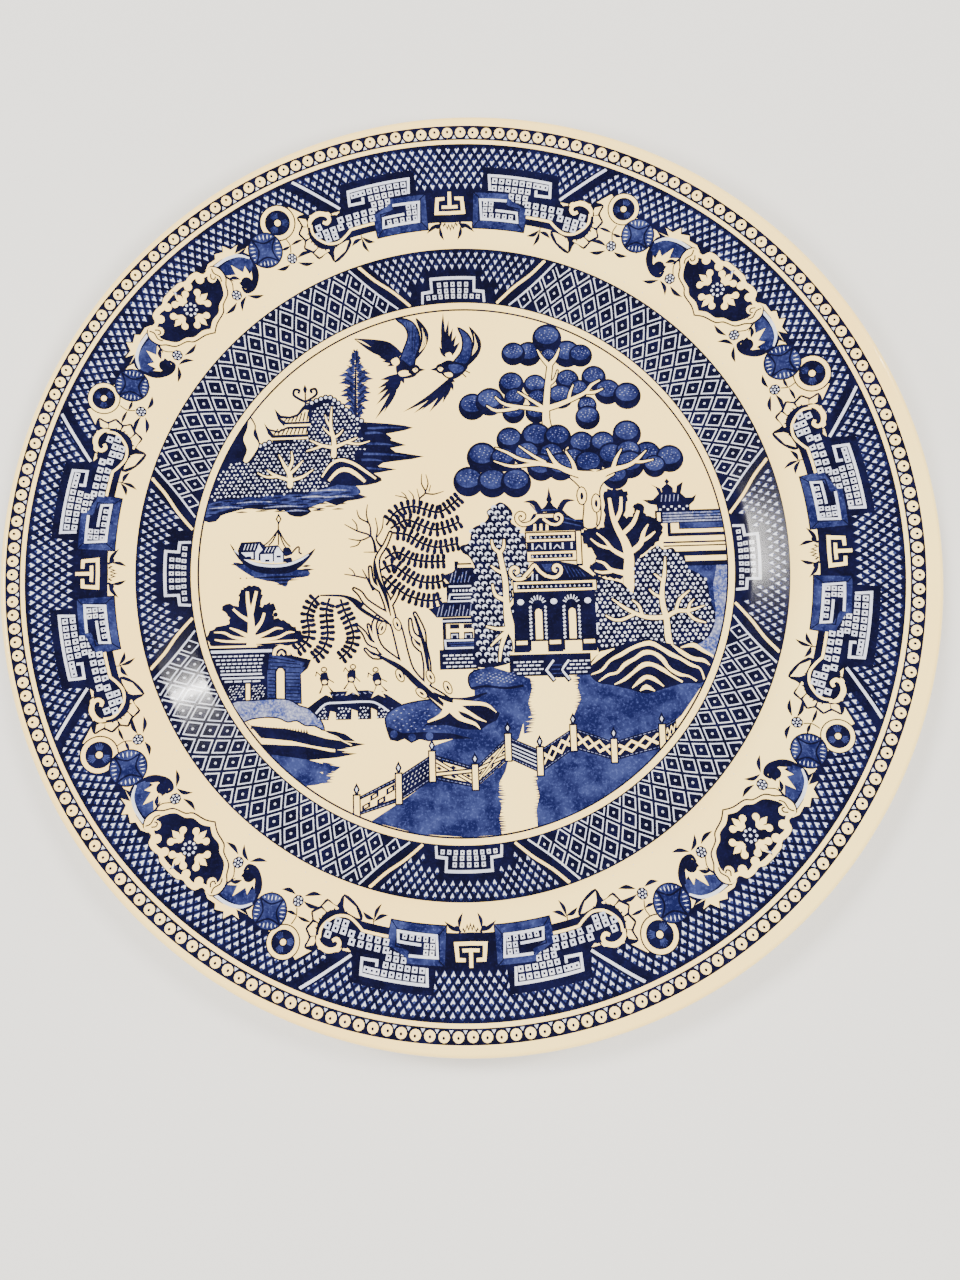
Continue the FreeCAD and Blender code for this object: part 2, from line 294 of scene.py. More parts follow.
def scroll_bulb(pen):
    """The fret's curled end, with a fringed shadow and pointed leaves round it."""
    pen.blob(INK, [(42.0, 110.6), (45.3, 111.4), (45.2, 108.8), (47.0, 107.0), (46.2, 104.6), (47.4, 102.6),
                   (45.6, 100.6), (44.4, 98.2), (41.0, 98.9), (40.0, 95.6), (35.0, 97.2), (32.4, 100.4),
                   (38.0, 103.0)], 3)
    for lobe in ([(43.2, 110.0), (44.9, 111.0), (44.6, 108.4), (43.0, 107.6)],
                 [(43.2, 107.6), (44.9, 108.2), (46.4, 107.0), (45.6, 104.9), (43.2, 104.6)],
                 [(43.0, 104.8), (45.8, 104.2), (46.8, 102.8), (45.0, 101.0), (42.6, 101.6)],
                 [(42.2, 101.8), (45.0, 100.4), (44.0, 98.7), (40.2, 99.3), (40.0, 100.6)],
                 [(33.2, 100.1), (35.4, 97.7), (39.8, 96.2), (39.0, 98.6), (37.0, 100.6)]):
        pen.fill(BARE, lobe)
    pen.blob(INK, [(33.0, 101.4), (36.2, 99.9), (40.0, 99.7), (43.0, 101.2), (44.3, 104.4), (43.8, 107.2),
                   (42.6, 109.0), (36.0, 108.4)], 4)
    for k in range(11):
        angle = math.radians(-100 + 13 * k)
        tip = 1.0 if k % 2 else 0.7
        x, y = 38.7 + 5.2 * math.cos(angle), 104.6 + 4.7 * math.sin(angle)
        pen.leaf(INK, x, y, x + tip * math.cos(angle - 0.4), y + tip * math.sin(angle - 0.4), 0.45)
    pen.blob(INK, [(32.0, 103.0), (35.2, 101.4), (38.6, 100.6), (41.6, 101.8), (43.0, 104.6), (42.7, 107.4),
                   (41.2, 108.6), (38.0, 108.2), (34.0, 107.8)], 4)
    pen.curve(BARE, 0.75, [(31.4, 102.9), (33.6, 101.6), (36.6, 100.6), (39.8, 101.3), (42.0, 103.4),
                           (42.9, 105.6), (42.4, 107.9)])
    dotted_squares(pen, 1.75, [(106.2, 33.6, 2.45, 1), (104.3, 34.3, 2.4, 4), (102.4, 36.8, 2.35, 2),
                               (106.3, 40.6, 2.0, 1)])
    pen.brush(INK, [(43.0, 109.2, 0.4), (41.0, 111.1, 0.4), (37.6, 110.9, 0.4), (35.6, 108.6, 0.4),
                    (36.6, 106.0, 0.4), (39.2, 106.2, 0.3)])
    pen.brush(BARE, [(43.1, 107.4, 0.6), (42.0, 109.2, 1.2), (39.4, 110.0, 1.4), (37.2, 109.0, 1.2),
                     (36.7, 107.5, 1.1), (37.8, 106.7, 1.1), (38.8, 107.4, 0.9)])


def divider(pen):
    """The slanted double line between two lattices."""
    pen.fill(INK, [(33.0, 108.6), (31.6, 109.2), (41.7, 121.2), (46.4, 121.2), (35.6, 108.8)])
    pen.line(MIST, 0.75, [(32.7, 109.2), (36.6, 113.6), (42.5, 120.8)])


def ring_disc(pen, size):
    """A pale ring round a dark disc with three hatched sectors."""
    disc = pen.at(50.9, 112.4, size=size)
    disc.disc(INK, 0, 0, 4.75, sides=28)
    disc.disc(BARE, 0, 0, 4.42, sides=28)
    disc.disc(INK, 0, 0, 3.3, sides=24)
    for angle in (90, 205, 325):
        for k in (-2, -1, 0, 1, 2):
            a = math.radians(angle + 11 * k)
            reach = 3.0 - 0.25 * abs(k)
            disc.line(WASH, 0.3, [(1.2 * math.cos(a), 1.2 * math.sin(a)),
                                  (reach * math.cos(a), reach * math.sin(a))])
    disc.disc(BARE, 0, 0, 0.85, sides=10)


def ball(pen, size):
    """A blue ball with four shield-shaped facets round a hollow square."""
    disc = pen.at(57.9, 107.4, size=size)
    disc.disc(INK, 0, 0, 4.95, sides=28)
    disc.disc(WASH, 0, 0, 4.6, sides=28)
    for k in range(4):
        facet = disc.at(0, 0, turn=90 * k + 22)
        facet.brush(INK, [(-3.3, 3.3, 0.5), (0, 1.9, 0.45), (3.3, 3.3, 0.5)])
        for x in (-2.0, -1.0, 0.0, 1.0, 2.0):
            facet.leaf(MIST, x, 2.8 + 0.12 * x * x, x * 1.1, 4.3 - 0.12 * x * x, 0.28)


def acanthus(pen):
    """A blue hooked leaf under a jagged white feather."""
    pen.fill(INK, [(61.8, 111.2), (63.2, 112.0), (62.8, 113.6), (65.4, 113.2), (67.4, 115.6), (68.2, 114.2),
                   (70.6, 115.0), (71.4, 113.9), (74.0, 114.0), (76.6, 112.4), (75.0, 111.0), (64.0, 109.9)])
    pen.fill(BARE, [(62.6, 110.9), (66.0, 111.3), (63.9, 112.9), (66.2, 112.8), (67.5, 115.0), (68.4, 113.5),
                    (70.6, 114.4), (71.4, 113.2), (73.8, 113.4), (75.6, 112.4), (70.0, 112.2), (66.6, 110.9)])
    pen.blob(INK, [(63.0, 109.4), (66.5, 111.2), (72.5, 111.3), (72.6, 108.2), (71.4, 105.6), (70.2, 104.6),
                   (69.9, 102.0), (67.6, 100.3), (64.6, 101.6), (62.8, 104.6)], 4)
    pen.blob(WASH, [(63.4, 108.6), (66.8, 110.4), (71.8, 110.5), (71.8, 108.0), (70.2, 106.2), (66.0, 105.6),
                    (64.6, 104.2), (63.5, 105.8)], 4)
    pen.brush(MIST, [(63.2, 108.0, 0.5), (65.4, 110.3, 0.8), (69.0, 111.5, 0.9), (73.2, 111.6, 0.8)])
    pen.fill(BARE, [(64.9, 104.7), (65.9, 104.3), (65.7, 106.9), (67.2, 105.7), (68.8, 109.3), (69.4, 106.4),
                    (71.8, 107.8), (70.6, 104.2), (69.4, 104.0), (68.0, 104.1), (66.6, 103.4), (66.4, 102.2)])
    pen.brush(INK, [(70.2, 102.8, 0.4), (70.0, 101.0, 1.2), (67.6, 100.9, 1.9), (65.0, 102.6, 1.8),
                    (63.6, 105.4, 1.0)])
    pen.disc(INK, 68.2, 102.8, 1.7, sides=14)


def medallion(pen):
    """Half of the dark scalloped medallion: pen's origin is the medallion's own centre."""
    outline = [(0.02, 7.7), (-3.2, 7.5), (-4.4, 6.6), (-6.2, 7.0), (-8.6, 6.6), (-9.8, 4.8), (-12.4, 5.2),
               (-14.1, 3.2), (-14.0, 0.4), (-12.6, -1.3), (-11.2, -3.6), (-8.0, -5.0), (-6.4, -6.6),
               (-2.6, -7.6), (0.02, -9.0)]
    pen.fill(INK, smooth([(x * 1.03, y * 1.04 - 0.1) for x, y in outline], 3) + [(0.02, 0.0)])
    pen.fill(BARE, smooth(outline, 3) + [(0.02, 0.0)])
    dark = [(0.02, 6.3), (-3.0, 6.1), (-4.8, 5.2), (-7.0, 5.4), (-8.6, 4.2), (-10.6, 3.4), (-12.2, 1.2),
            (-11.4, -1.4), (-9.9, -3.4), (-7.2, -4.4), (-5.4, -5.9), (-2.4, -6.3), (0.02, -7.6)]
    pen.fill(INK, smooth(dark, 3) + [(0.02, 0.0)])
    # Two small curls on the shoulder and a large one at the side.
    for x, y, radius in ((-4.1, 5.0, 1.15), (-8.0, 4.3, 1.2), (-10.9, 2.4, 1.3)):
        pen.disc(BARE, x, y, radius, sides=12)
    pen.brush(BARE, [(-3.4, 6.4, 1.2), (-5.4, 6.0, 1.1), (-7.0, 6.1, 1.1), (-8.8, 5.2, 1.2)])
    pen.curve(INK, 0.35, [(-11.4, 3.6), (-10.7, 2.6), (-11.2, 1.8), (-12.0, 2.2)], steps=3)
    pen.curve(INK, 0.35, [(-12.6, 4.6), (-12.2, 3.2), (-12.9, 1.4), (-12.4, 0.0)], steps=3)
    fleur(pen.at(0, 2.6), half=True)
    fleur(pen.at(0, -2.7, turn=180, flip=True), half=True)
    fleur(pen.at(-3.4, 0.1, turn=90), half=False)


def fleur(pen, half):
    """A three-lobed spear, drawn upwards from its foot. Half of it has only its left lobe."""
    sides = (-1,) if half else (-1, 1)
    inner, shoulder = (0.02, 0.02) if half else (0.55, 0.92)
    pen.fill(BARE, [(-0.6, -0.6), (-0.7, 1.2), (-0.9, 1.9), (0, 3.6), (shoulder, 1.9), (inner, 1.2),
                    (inner, -0.6)])
    for side in sides:
        pen.brush(BARE, [(side * 0.4, -0.2, 1.0), (side * 0.9, 0.6, 1.0), (side * 1.9, 1.5, 1.3)])
        pen.disc(BARE, side * 2.1, 1.5, 1.0, sides=10)


def rim_half(pen, ring_size):
    """Half a repeat of the rim border, from the key's middle to the medallion's."""
    edge = [(0, 108), (32, 108.2), (38, 110.0), (42.4, 110.6), (46.2, 115.0), (50, 112), (57, 111.6),
            (62, 111.0), (67, 112.5), (76, 112.5), (RIM_HALF, 112.0)]
    pen.fill(INK, [(0, 121.2), (0, 108)] + edge[1:] + [(RIM_HALF, 121.2)])
    hearts(pen, RIM_HALF / 36, (119.8, 1.62), 36, 8, lambda x, y: y > between(edge, x) + 1.0)
    divider(pen)
    key_block(pen)
    meander(pen)
    scroll_bulb(pen)
    pen.curve(INK, 0.3, [(51.0, 107.6), (50.7, 105.4), (51.6, 103.4)])
    sprig_leaves(pen, [(46.3, 105.2, 50.6, 105.2, 0.03), (50.7, 105.1, 54.0, 105.3, -0.05),
                       (60.0, 102.8, 61.6, 105.0, 0.15)], 0.85)
    ring_disc(pen, ring_size)
    ball(pen, 0.5 + ring_size / 2)
    acanthus(pen)
    sprig_leaves(pen, [(28.9, 99.9, 25.2, 97.6, 0.12), (29.0, 99.6, 27.9, 95.2, 0.1),
                       (29.0, 99.4, 32.9, 98.3, 0.1)], 1.1)
    pen.curve(INK, 0.3, [(28.9, 100.6), (29.2, 99.4)])
    berries(pen, 52.1, 101.8)
    sprig_leaves(pen, [(50.6, 101.3, 45.4, 100.9, -0.1), (53.7, 100.6, 58.0, 101.2, -0.12),
                       (51.0, 100.0, 46.4, 98.0, 0.1)])
    pen.curve(INK, 0.3, [(71.9, 107.2), (71.8, 105.2), (73.2, 103.2)])
    berries(pen, 73.1, 101.8)
    sprig_leaves(pen, [(74.6, 100.2, 79.7, 99.8, -0.1), (71.0, 99.9, 75.0, 97.3, 0.12),
                       (70.4, 99.8, 66.1, 97.3, 0.1), (69.2, 104.7, 71.8, 106.7, 0.1)])
    medallion(pen.at(RIM_HALF, 107.3))


def rim_border(shapes):
    """Four repeats of the rim border, the rosettes between them and the beads."""
    for turn in (90, 0, -90, -180):
        pen = ring_pen(shapes, RIM_RADIUS, turn)
        rim_half(pen, ring_size=0.95)
        rim_half(pen.at(0, 0, flip=True), ring_size=1.08)
    for turn in (45, -45, -135, -225):
        middle = ring_pen(shapes, RIM_RADIUS, turn).at(0, 107.3)
        middle.disc(INK, 0, 0, 2.3, sides=12)
        for k in range(8):
            angle = k * math.pi / 4
            middle.disc(MIST, 1.6 * math.cos(angle), 1.6 * math.sin(angle), 0.42, sides=6)
        middle.disc(MIST, 0, 0, 0.45, sides=6)
    bead_band(shapes)


# --- verge border ----------------------------------------------------------------------------------

VERGE_RADIUS = 85.0
VERGE_HALF = VERGE_RADIUS * math.pi / 4


def trellis_cell(pen):
    """A pale lozenge outline round a dark one with a pale dot."""
    pen.fill(MIST, [(0, -2.82), (2.32, 0), (0, 2.82), (-2.32, 0)])
    pen.fill(INK, [(0, -2.26), (1.87, 0), (0, 2.26), (-1.87, 0)])
    pen.disc(MIST, 0, 0, 0.36, sides=6)


def verge_half(pen):
    """Half a repeat of the verge border, from the stepped cartouche to the middle of the trellis."""
    pen.fill(INK, [(0, 79.3), (0, 92.6), (VERGE_HALF, 92.6), (VERGE_HALF, 79.3)])
    slope = [(13.6, 79.4), (18.0, 84.0), (22.4, 88.0), (26.0, 92.4)]
    steps = [(0, 87.4), (8.8, 87.4), (8.9, 84.6), (12.3, 84.5), (12.4, 79.0), (60, 79.0)]
    outer = [(y, x) for x, y in slope]
    hearts(pen, VERGE_HALF / 30, (91.2, 1.42), 30, 9,
           lambda x, y: y > between(steps, x) + 0.7 and x < between(outer, y) - 1.2, size=0.86)
    pitch = VERGE_HALF / 12
    for row, y in enumerate((91.9, 88.55, 85.2, 81.85, 78.5)):
        for column in range(2, 13):
            x = (column + (row + 1) % 2 / 2) * pitch
            if x > between(outer, y) + 3.6 and x <= VERGE_HALF + 0.1:
                trellis_cell(pen.at(x, y))
    pen.fill(INK, [(13.6, 79.4), (18.0, 84.0), (22.4, 88.0), (26.0, 92.5), (30.0, 92.5), (26.0, 88.0),
                   (22.0, 84.0), (17.6, 79.4)])
    pen.curve(BARE, 0.8, [(13.9, 79.6), (18.2, 84.0), (22.5, 88.0), (25.6, 92.2)])
    pen.curve(MIST, 0.5, [(17.9, 79.6), (21.8, 83.4), (25.2, 87.4), (28.4, 92.2)])
    pen.line(MIST, 0.75, [(-0.1, 85.5), (6.4, 85.5), (6.5, 82.4), (9.4, 82.3), (9.9, 79.6)])
    dotted_squares(pen, 1.15, [(83.9, 0.0, 2.05, 3), (82.35, 0.0, 2.05, 3), (80.95, 0.0, 1.95, 5)])


def verge_border(shapes):
    """Four repeats of the verge border between its fine rings."""
    for turn in (90, 0, -90, -180):
        pen = ring_pen(shapes, VERGE_RADIUS, turn)
        verge_half(pen)
        verge_half(pen.at(0, 0, flip=True))
    for tone, outer, inner in ((BARE, 94.5, 92.6), (INK, 92.6, 92.2), (INK, 79.5, 79.15),
                               (BARE, 79.15, 77.35), (INK, 77.4, 76.9), (BARE, 76.9, 75.2)):
        hoop(shapes, tone, outer, inner)


# --- centre scene ----------------------------------------------------------------------------------
# A landscape: an orange tree, a willow, a pagoda, a bridge, an island, a boat and two birds. x runs to
# the right and y up, from the middle of the print.


def branches(pen, routes, edge):
    """Pale boughs with one dark outline round them all. A route is (x, y, width) points."""
    for route in routes:
        first, last = route[0], route[-1]
        pen.disc(INK, first[0], first[1], first[2] / 2 + edge, sides=8)
        pen.disc(INK, last[0], last[1], last[2] / 2 + edge, sides=8)
        pen.brush(INK, [(x, y, w + 2 * edge) for x, y, w in route], 3)
    for route in routes:
        pen.disc(BARE, *route[0][:2], route[0][2] / 2, sides=8)
        pen.brush(BARE, route, 3)


def fill_edged(pen, tone, points, edge):
    """A smooth outline filled with a tone and drawn round in ink."""
    rounded = smooth(points, 3, closed=True)
    pen.fill(tone, rounded)
    pen.line(INK, edge, rounded, closed=True)


def scatter(region, across, up):
    """Staggered grid points that lie inside an outline, each nudged a little."""
    xs, ys = [p[0] for p in region], [p[1] for p in region]
    for row in range(int((max(ys) - min(ys)) / up) + 1):
        for column in range(int((max(xs) - min(xs)) / across) + 2):
            x = min(xs) + (column + (row % 2) / 2) * across + 0.16 * math.sin(row * 5.1 + column * 3.3)
            y = min(ys) + row * up + 0.14 * math.sin(row * 2.3 + column * 7.7)
            if inside(region, x, y):
                yield x, y


def spread(k):
    """One of a row of points that fill a unit square evenly."""
    return (k * 0.7549) % 1.0, (k * 0.5698) % 1.0


def dashes(pen, rows, x0, x1, length=1.3, gap=0.5, tall=0.45):
    """Rows of short pale dashes, like courses of bricks."""
    for k, y in enumerate(rows):
        x = x0 + (k % 2) * (length + gap) / 2
        while x + length < x1:
            pen.fill(MIST, [(x, y), (x + length, y + 0.06), (x + length, y + tall), (x, y + tall)])
            x += length + gap


def hatch(pen, tone, width, lines):
    """Separate straight lines of one tone and width."""
    for x0, y0, x1, y1 in lines:
        pen.line(tone, width, [(x0, y0), (x1, y1)])


def knot(pen, x, y, wide, tall, turn=0.0):
    """An almond-shaped knot in a trunk."""
    spot = pen.at(x, y, turn)
    spot.disc(INK, 0, 0, wide + 0.35, tall + 0.35, sides=12)
    spot.disc(BARE, 0, 0, wide, tall, sides=12)
    spot.disc(INK, 0, -0.1, wide * 0.38, tall * 0.45, sides=8)


# Birds ---------------------------------------------------------------------------------------------


def feathers(pen, root, tips, width=1.0):
    """Long feathers that spread from a root."""
    for x, y in tips:
        pen.leaf(INK, root[0], root[1], x, y, width, 0.06)


def bird_head(pen, x, y, side):
    """A small pale-cheeked head that looks left or right."""
    head = pen.at(x, y, flip=side < 0)
    head.blob(INK, [(-1.8, -0.8), (-1.2, 1.2), (0.4, 1.6), (1.5, 0.8), (1.4, -0.8), (0.0, -1.5)], 4)
    head.fill(INK, [(1.0, 0.7), (3.3, -0.1), (1.0, -0.8)])
    head.blob(BARE, [(-0.6, 0.1), (0.5, 0.6), (1.0, -0.1), (0.1, -0.8)], 3)
    head.disc(INK, 0.4, 0.2, 0.25, sides=6)


def left_bird(pen):
    """The left bird: its tail and wing feathers, then its wings, body and head."""
    feathers(pen, (-17.0, 58.2), ((-24.2, 44.6), (-23.8, 49.0), (-23.4, 52.0), (-23.2, 54.0), (-22.4, 56.6),
                                  (-21.6, 46.6), (-19.6, 50.6), (-17.4, 53.4), (-15.4, 55.0)), 1.25)
    feathers(pen, (-16.6, 62.6), ((-30.2, 69.4), (-27.4, 67.8), (-25.6, 66.2), (-24.0, 65.2), (-22.8, 63.6),
                                  (-21.8, 62.2), (-20.4, 60.6)), 1.35)
    pen.fill(INK, [(-29.0, 69.3), (-24.6, 68.6), (-20.0, 67.4), (-16.4, 64.6), (-16.6, 61.4), (-19.6, 61.8),
                   (-21.0, 63.4), (-23.0, 65.0), (-25.0, 66.6), (-27.0, 68.2)])
    pen.brush(INK, [(-30.0, 69.4, 0.3), (-24.0, 68.4, 1.2), (-19.6, 67.2, 1.4), (-16.0, 64.0, 1.0)])
    pen.blob(INK, [(-11.5, 75.2), (-9.6, 73.5), (-8.0, 71.0), (-7.7, 69.1), (-8.3, 66.9), (-9.8, 64.4),
                   (-12.6, 61.4), (-11.2, 64.8), (-10.4, 66.9), (-10.1, 69.6), (-10.6, 71.9)], 3)
    for k in range(3):
        pen.brush(BARE, [(-9.6 + 0.5 * k, 72.0 - 1.3 * k, 0.1), (-9.3 + 0.25 * k, 68.4 - 0.8 * k, 0.3),
                         (-10.6, 64.6, 0.1)], 3)
    fill_edged(pen, WASH, [(-17.2, 74.8), (-15.4, 75.1), (-13.2, 74.4), (-11.7, 73.0), (-10.6, 70.5),
                           (-10.5, 67.0), (-11.6, 63.4), (-12.6, 60.0), (-15.4, 59.0), (-16.8, 61.0),
                           (-15.4, 65.4), (-14.2, 68.4), (-14.0, 70.5), (-15.0, 72.8)], 0.5)
    hatch(pen, INK, 0.2, [(-12.4, 73.0, -12.8, 65.0), (-13.6, 73.8, -13.4, 68.0), (-11.6, 70.6, -12.2, 64.0),
                          (-14.4, 74.0, -13.8, 71.0)])
    pen.blob(INK, [(-17.8, 60.0), (-16.4, 62.8), (-13.6, 60.4), (-11.2, 59.8), (-11.8, 57.4), (-14.6, 56.6),
                   (-16.8, 57.0)], 3)
    pen.blob(BARE, [(-19.2, 62.2), (-17.4, 63.2), (-16.6, 61.6), (-18.0, 60.6)], 3)
    pen.blob(BARE, [(-17.0, 58.6), (-15.0, 59.2), (-12.8, 58.2), (-14.6, 57.4), (-16.4, 57.4)], 3)
    bird_head(pen, -12.2, 59.2, 1)


def right_bird(pen):
    """The right bird, which faces the left one."""
    feathers(pen, (-2.2, 56.0), ((-15.8, 46.5), (-12.6, 46.0), (-10.4, 46.8), (-8.0, 46.2), (-6.2, 47.8),
                                 (-4.0, 48.8), (-2.4, 51.0), (-0.8, 52.4), (-0.2, 55.0), (-12.4, 48.2)), 1.2)
    feathers(pen, (-1.6, 62.2), ((-3.2, 76.4), (-1.6, 74.0), (-0.4, 71.6), (0.6, 69.4), (1.6, 67.2),
                                 (-3.4, 72.0), (-4.0, 69.0), (-4.6, 66.0)), 1.4)
    pen.blob(INK, [(4.4, 72.0), (6.4, 70.0), (7.8, 67.6), (7.9, 65.1), (6.6, 62.4), (3.4, 59.6), (4.8, 63.7),
                   (5.5, 66.2), (5.3, 69.1)], 3)
    for k in range(3):
        pen.brush(BARE, [(5.9 + 0.4 * k, 69.6 - 1.4 * k, 0.1), (6.2 + 0.2 * k, 66.6 - 0.8 * k, 0.28),
                         (4.8, 62.6, 0.1)], 3)
    fill_edged(pen, WASH, [(1.2, 71.6), (3.4, 70.3), (4.8, 68.4), (5.3, 65.9), (4.4, 61.6), (1.4, 59.2),
                           (-0.6, 60.8), (1.6, 63.7), (2.4, 66.2), (2.2, 68.9)], 0.5)
    pen.blob(INK, [(-5.0, 60.0), (-2.2, 61.8), (0.6, 61.0), (3.9, 60.0), (2.2, 57.4), (-0.8, 55.8),
                   (-3.6, 57.0)], 3)
    pen.blob(WASH, [(-1.8, 60.4), (1.6, 60.2), (2.6, 58.8), (0.4, 57.6), (-1.6, 58.8)], 3)
    pen.blob(BARE, [(-2.9, 63.6), (-1.4, 64.2), (-0.8, 62.8), (-2.0, 62.0)], 3)
    pen.blob(BARE, [(-3.4, 57.8), (-1.4, 58.0), (-0.8, 56.9), (-2.2, 56.6)], 3)
    bird_head(pen, -4.2, 59.2, -1)
    hatch(pen, INK, 0.35, [(1.6, 58.0, 3.2, 56.4), (2.6, 58.6, 4.4, 57.6)])


# Orange tree ---------------------------------------------------------------------------------------


def fruit(pen, x, y, radius):
    """A round dark fruit-laden clump, paler where light falls on its top."""
    ball = pen.at(x, y)
    ball.disc(INK, 0, 0, radius, sides=26)
    ball.disc(WASH, 0, radius * 0.22, radius * 0.8, radius * 0.62, sides=18)
    for k in range(14):
        angle, reach = k * 2.4, radius * 0.62 * math.sqrt((k + 0.5) / 14)
        ball.disc(STIPPLE, reach * math.cos(angle), radius * 0.3 + 0.62 * reach * math.sin(angle), 0.2, 0.14,
                  sides=5)


UPPER_BOUGHS = [
    [(27.0, 39.0, 2.6), (26.4, 43.0, 2.0), (27.0, 50.0, 1.7), (27.6, 55.0, 1.5), (28.2, 59.0, 1.4)],
    [(28.0, 59.0, 1.4), (30.0, 61.4, 0.9), (31.2, 64.2, 0.3)],
    [(28.0, 59.0, 1.2), (26.0, 61.4, 0.8), (24.6, 64.0, 0.3)],
    [(26.6, 46.0, 1.6), (30.0, 46.9, 1.4), (35.0, 48.8, 1.1), (38.6, 50.6, 0.9), (40.2, 52.6, 0.8),
     (42.8, 54.0, 0.4)],
    [(38.6, 50.4, 0.9), (41.0, 50.4, 0.8), (43.6, 51.4, 0.3)],
    [(33.4, 48.2, 0.9), (33.8, 50.4, 0.7), (34.9, 52.9, 0.3)],
    [(27.2, 53.0, 1.0), (29.4, 54.6, 0.6), (30.4, 57.4, 0.2)],
    [(26.8, 45.4, 1.4), (22.0, 46.2, 1.1), (14.7, 47.6, 0.8), (11.6, 50.1, 0.3)],
    [(18.0, 46.4, 0.9), (12.0, 45.8, 0.8), (9.0, 47.5, 0.3)],
    [(25.6, 46.4, 0.9), (21.6, 49.2, 0.7), (18.4, 51.4, 0.3)],
]
LOWER_BOUGHS = [
    [(39.0, 25.4, 2.6), (34.6, 26.2, 1.8), (30.0, 28.2, 1.4), (28.0, 30.6, 1.0), (26.4, 33.8, 0.4)],
    [(34.4, 26.6, 1.4), (33.7, 29.6, 0.9), (31.8, 33.0, 0.4)],
    [(30.4, 28.0, 1.2), (24.0, 29.4, 1.0), (16.1, 28.9, 0.8), (10.6, 30.7, 0.3)],
    [(24.0, 29.6, 1.0), (18.4, 31.0, 0.8), (14.7, 33.1, 0.7), (11.2, 34.6, 0.3)],
    [(25.6, 29.8, 0.9), (22.2, 31.9, 0.7), (18.1, 35.0, 0.3)],
    [(41.0, 25.4, 2.2), (45.6, 27.0, 1.5), (49.4, 27.9, 1.1), (52.2, 29.4, 0.9), (55.4, 32.4, 0.3)],
    [(45.4, 27.0, 1.2), (46.4, 30.0, 0.9), (48.2, 33.0, 0.3)],
    [(51.8, 29.2, 0.9), (54.0, 29.0, 0.7), (57.4, 29.6, 0.3)],
]


def orange_tree(pen):
    """The orange tree behind the pagoda: its upper clumps first, then boughs, lower clumps and trunk."""
    top = [(22.0, 62.8, 3.8), (17.4, 63.0, 3.6), (33.3, 62.4, 4.2), (37.4, 61.7, 3.5), (27.6, 67.3, 4.4),
           (27.9, 62.0, 2.4)]
    middle = [(4.7, 47.3, 4.1), (10.0, 48.6, 4.3), (16.5, 53.7, 3.8), (23.6, 53.0, 3.5), (17.4, 49.4, 3.2),
              (24.0, 49.2, 2.8), (16.9, 45.1, 3.4), (23.6, 44.8, 3.2), (33.2, 54.2, 3.5), (31.0, 49.5, 3.8),
              (41.0, 54.8, 3.7), (36.4, 51.4, 3.0), (44.9, 50.4, 3.9), (50.6, 49.0, 4.1), (38.7, 46.4, 2.9),
              (38.7, 42.8, 3.7)]
    low = [(15.4, 36.9, 3.9), (23.3, 37.3, 4.6), (29.6, 37.0, 4.1), (36.6, 34.8, 4.0), (42.8, 34.7, 3.9),
           (50.0, 37.5, 4.2), (7.2, 31.9, 4.6), (13.3, 31.2, 3.8), (20.4, 32.4, 4.0), (27.6, 32.0, 3.8),
           (34.0, 30.0, 4.0), (45.2, 31.0, 4.2), (55.6, 30.9, 4.2), (62.1, 29.7, 4.1), (50.2, 32.0, 3.8),
           (2.9, 24.8, 4.5), (10.0, 24.2, 4.5), (16.9, 24.0, 4.5), (24.4, 28.4, 4.2), (30.2, 28.4, 4.3),
           (38.4, 28.9, 4.2), (50.4, 28.4, 4.3), (57.6, 27.6, 3.4), (46.0, 25.0, 3.9)]
    for x, y, radius in top + middle:
        fruit(pen, x, y, radius)
    branches(pen, UPPER_BOUGHS, 0.35)
    for x, y, radius in low:
        fruit(pen, x, y, radius)
    fill_edged(pen, BARE, [(32.6, 25.8), (35.2, 22.4), (36.6, 18.0), (36.1, 10.4), (40.0, 10.2), (41.4, 14.0),
                           (41.3, 20.6), (42.8, 23.4), (46.2, 26.0), (40.0, 27.4)], 0.4)
    branches(pen, LOWER_BOUGHS, 0.35)
    pen.fill(BARE, [(34.6, 26.6), (36.2, 22.6), (41.0, 22.6), (44.6, 26.4), (39.8, 26.6)])
    knot(pen, 36.0, 19.5, 1.3, 2.5)
    knot(pen, 40.1, 17.2, 1.2, 2.6)
    pen.curve(INK, 0.4, [(40.1, 14.4), (40.2, 12.6), (39.9, 10.6)])


def dark_bush(pen, outline, boughs, seed=0.0):
    """A dark ragged-edged bush with pale boughs."""
    edge = smooth(outline, 4, closed=True)
    rough = [(x + 0.28 * math.sin(k * 2.4 + seed), y + 0.28 * math.cos(k * 3.1 + seed))
             for k, (x, y) in enumerate(edge)]
    pen.fill(INK, rough)
    branches(pen, boughs, 0.12)


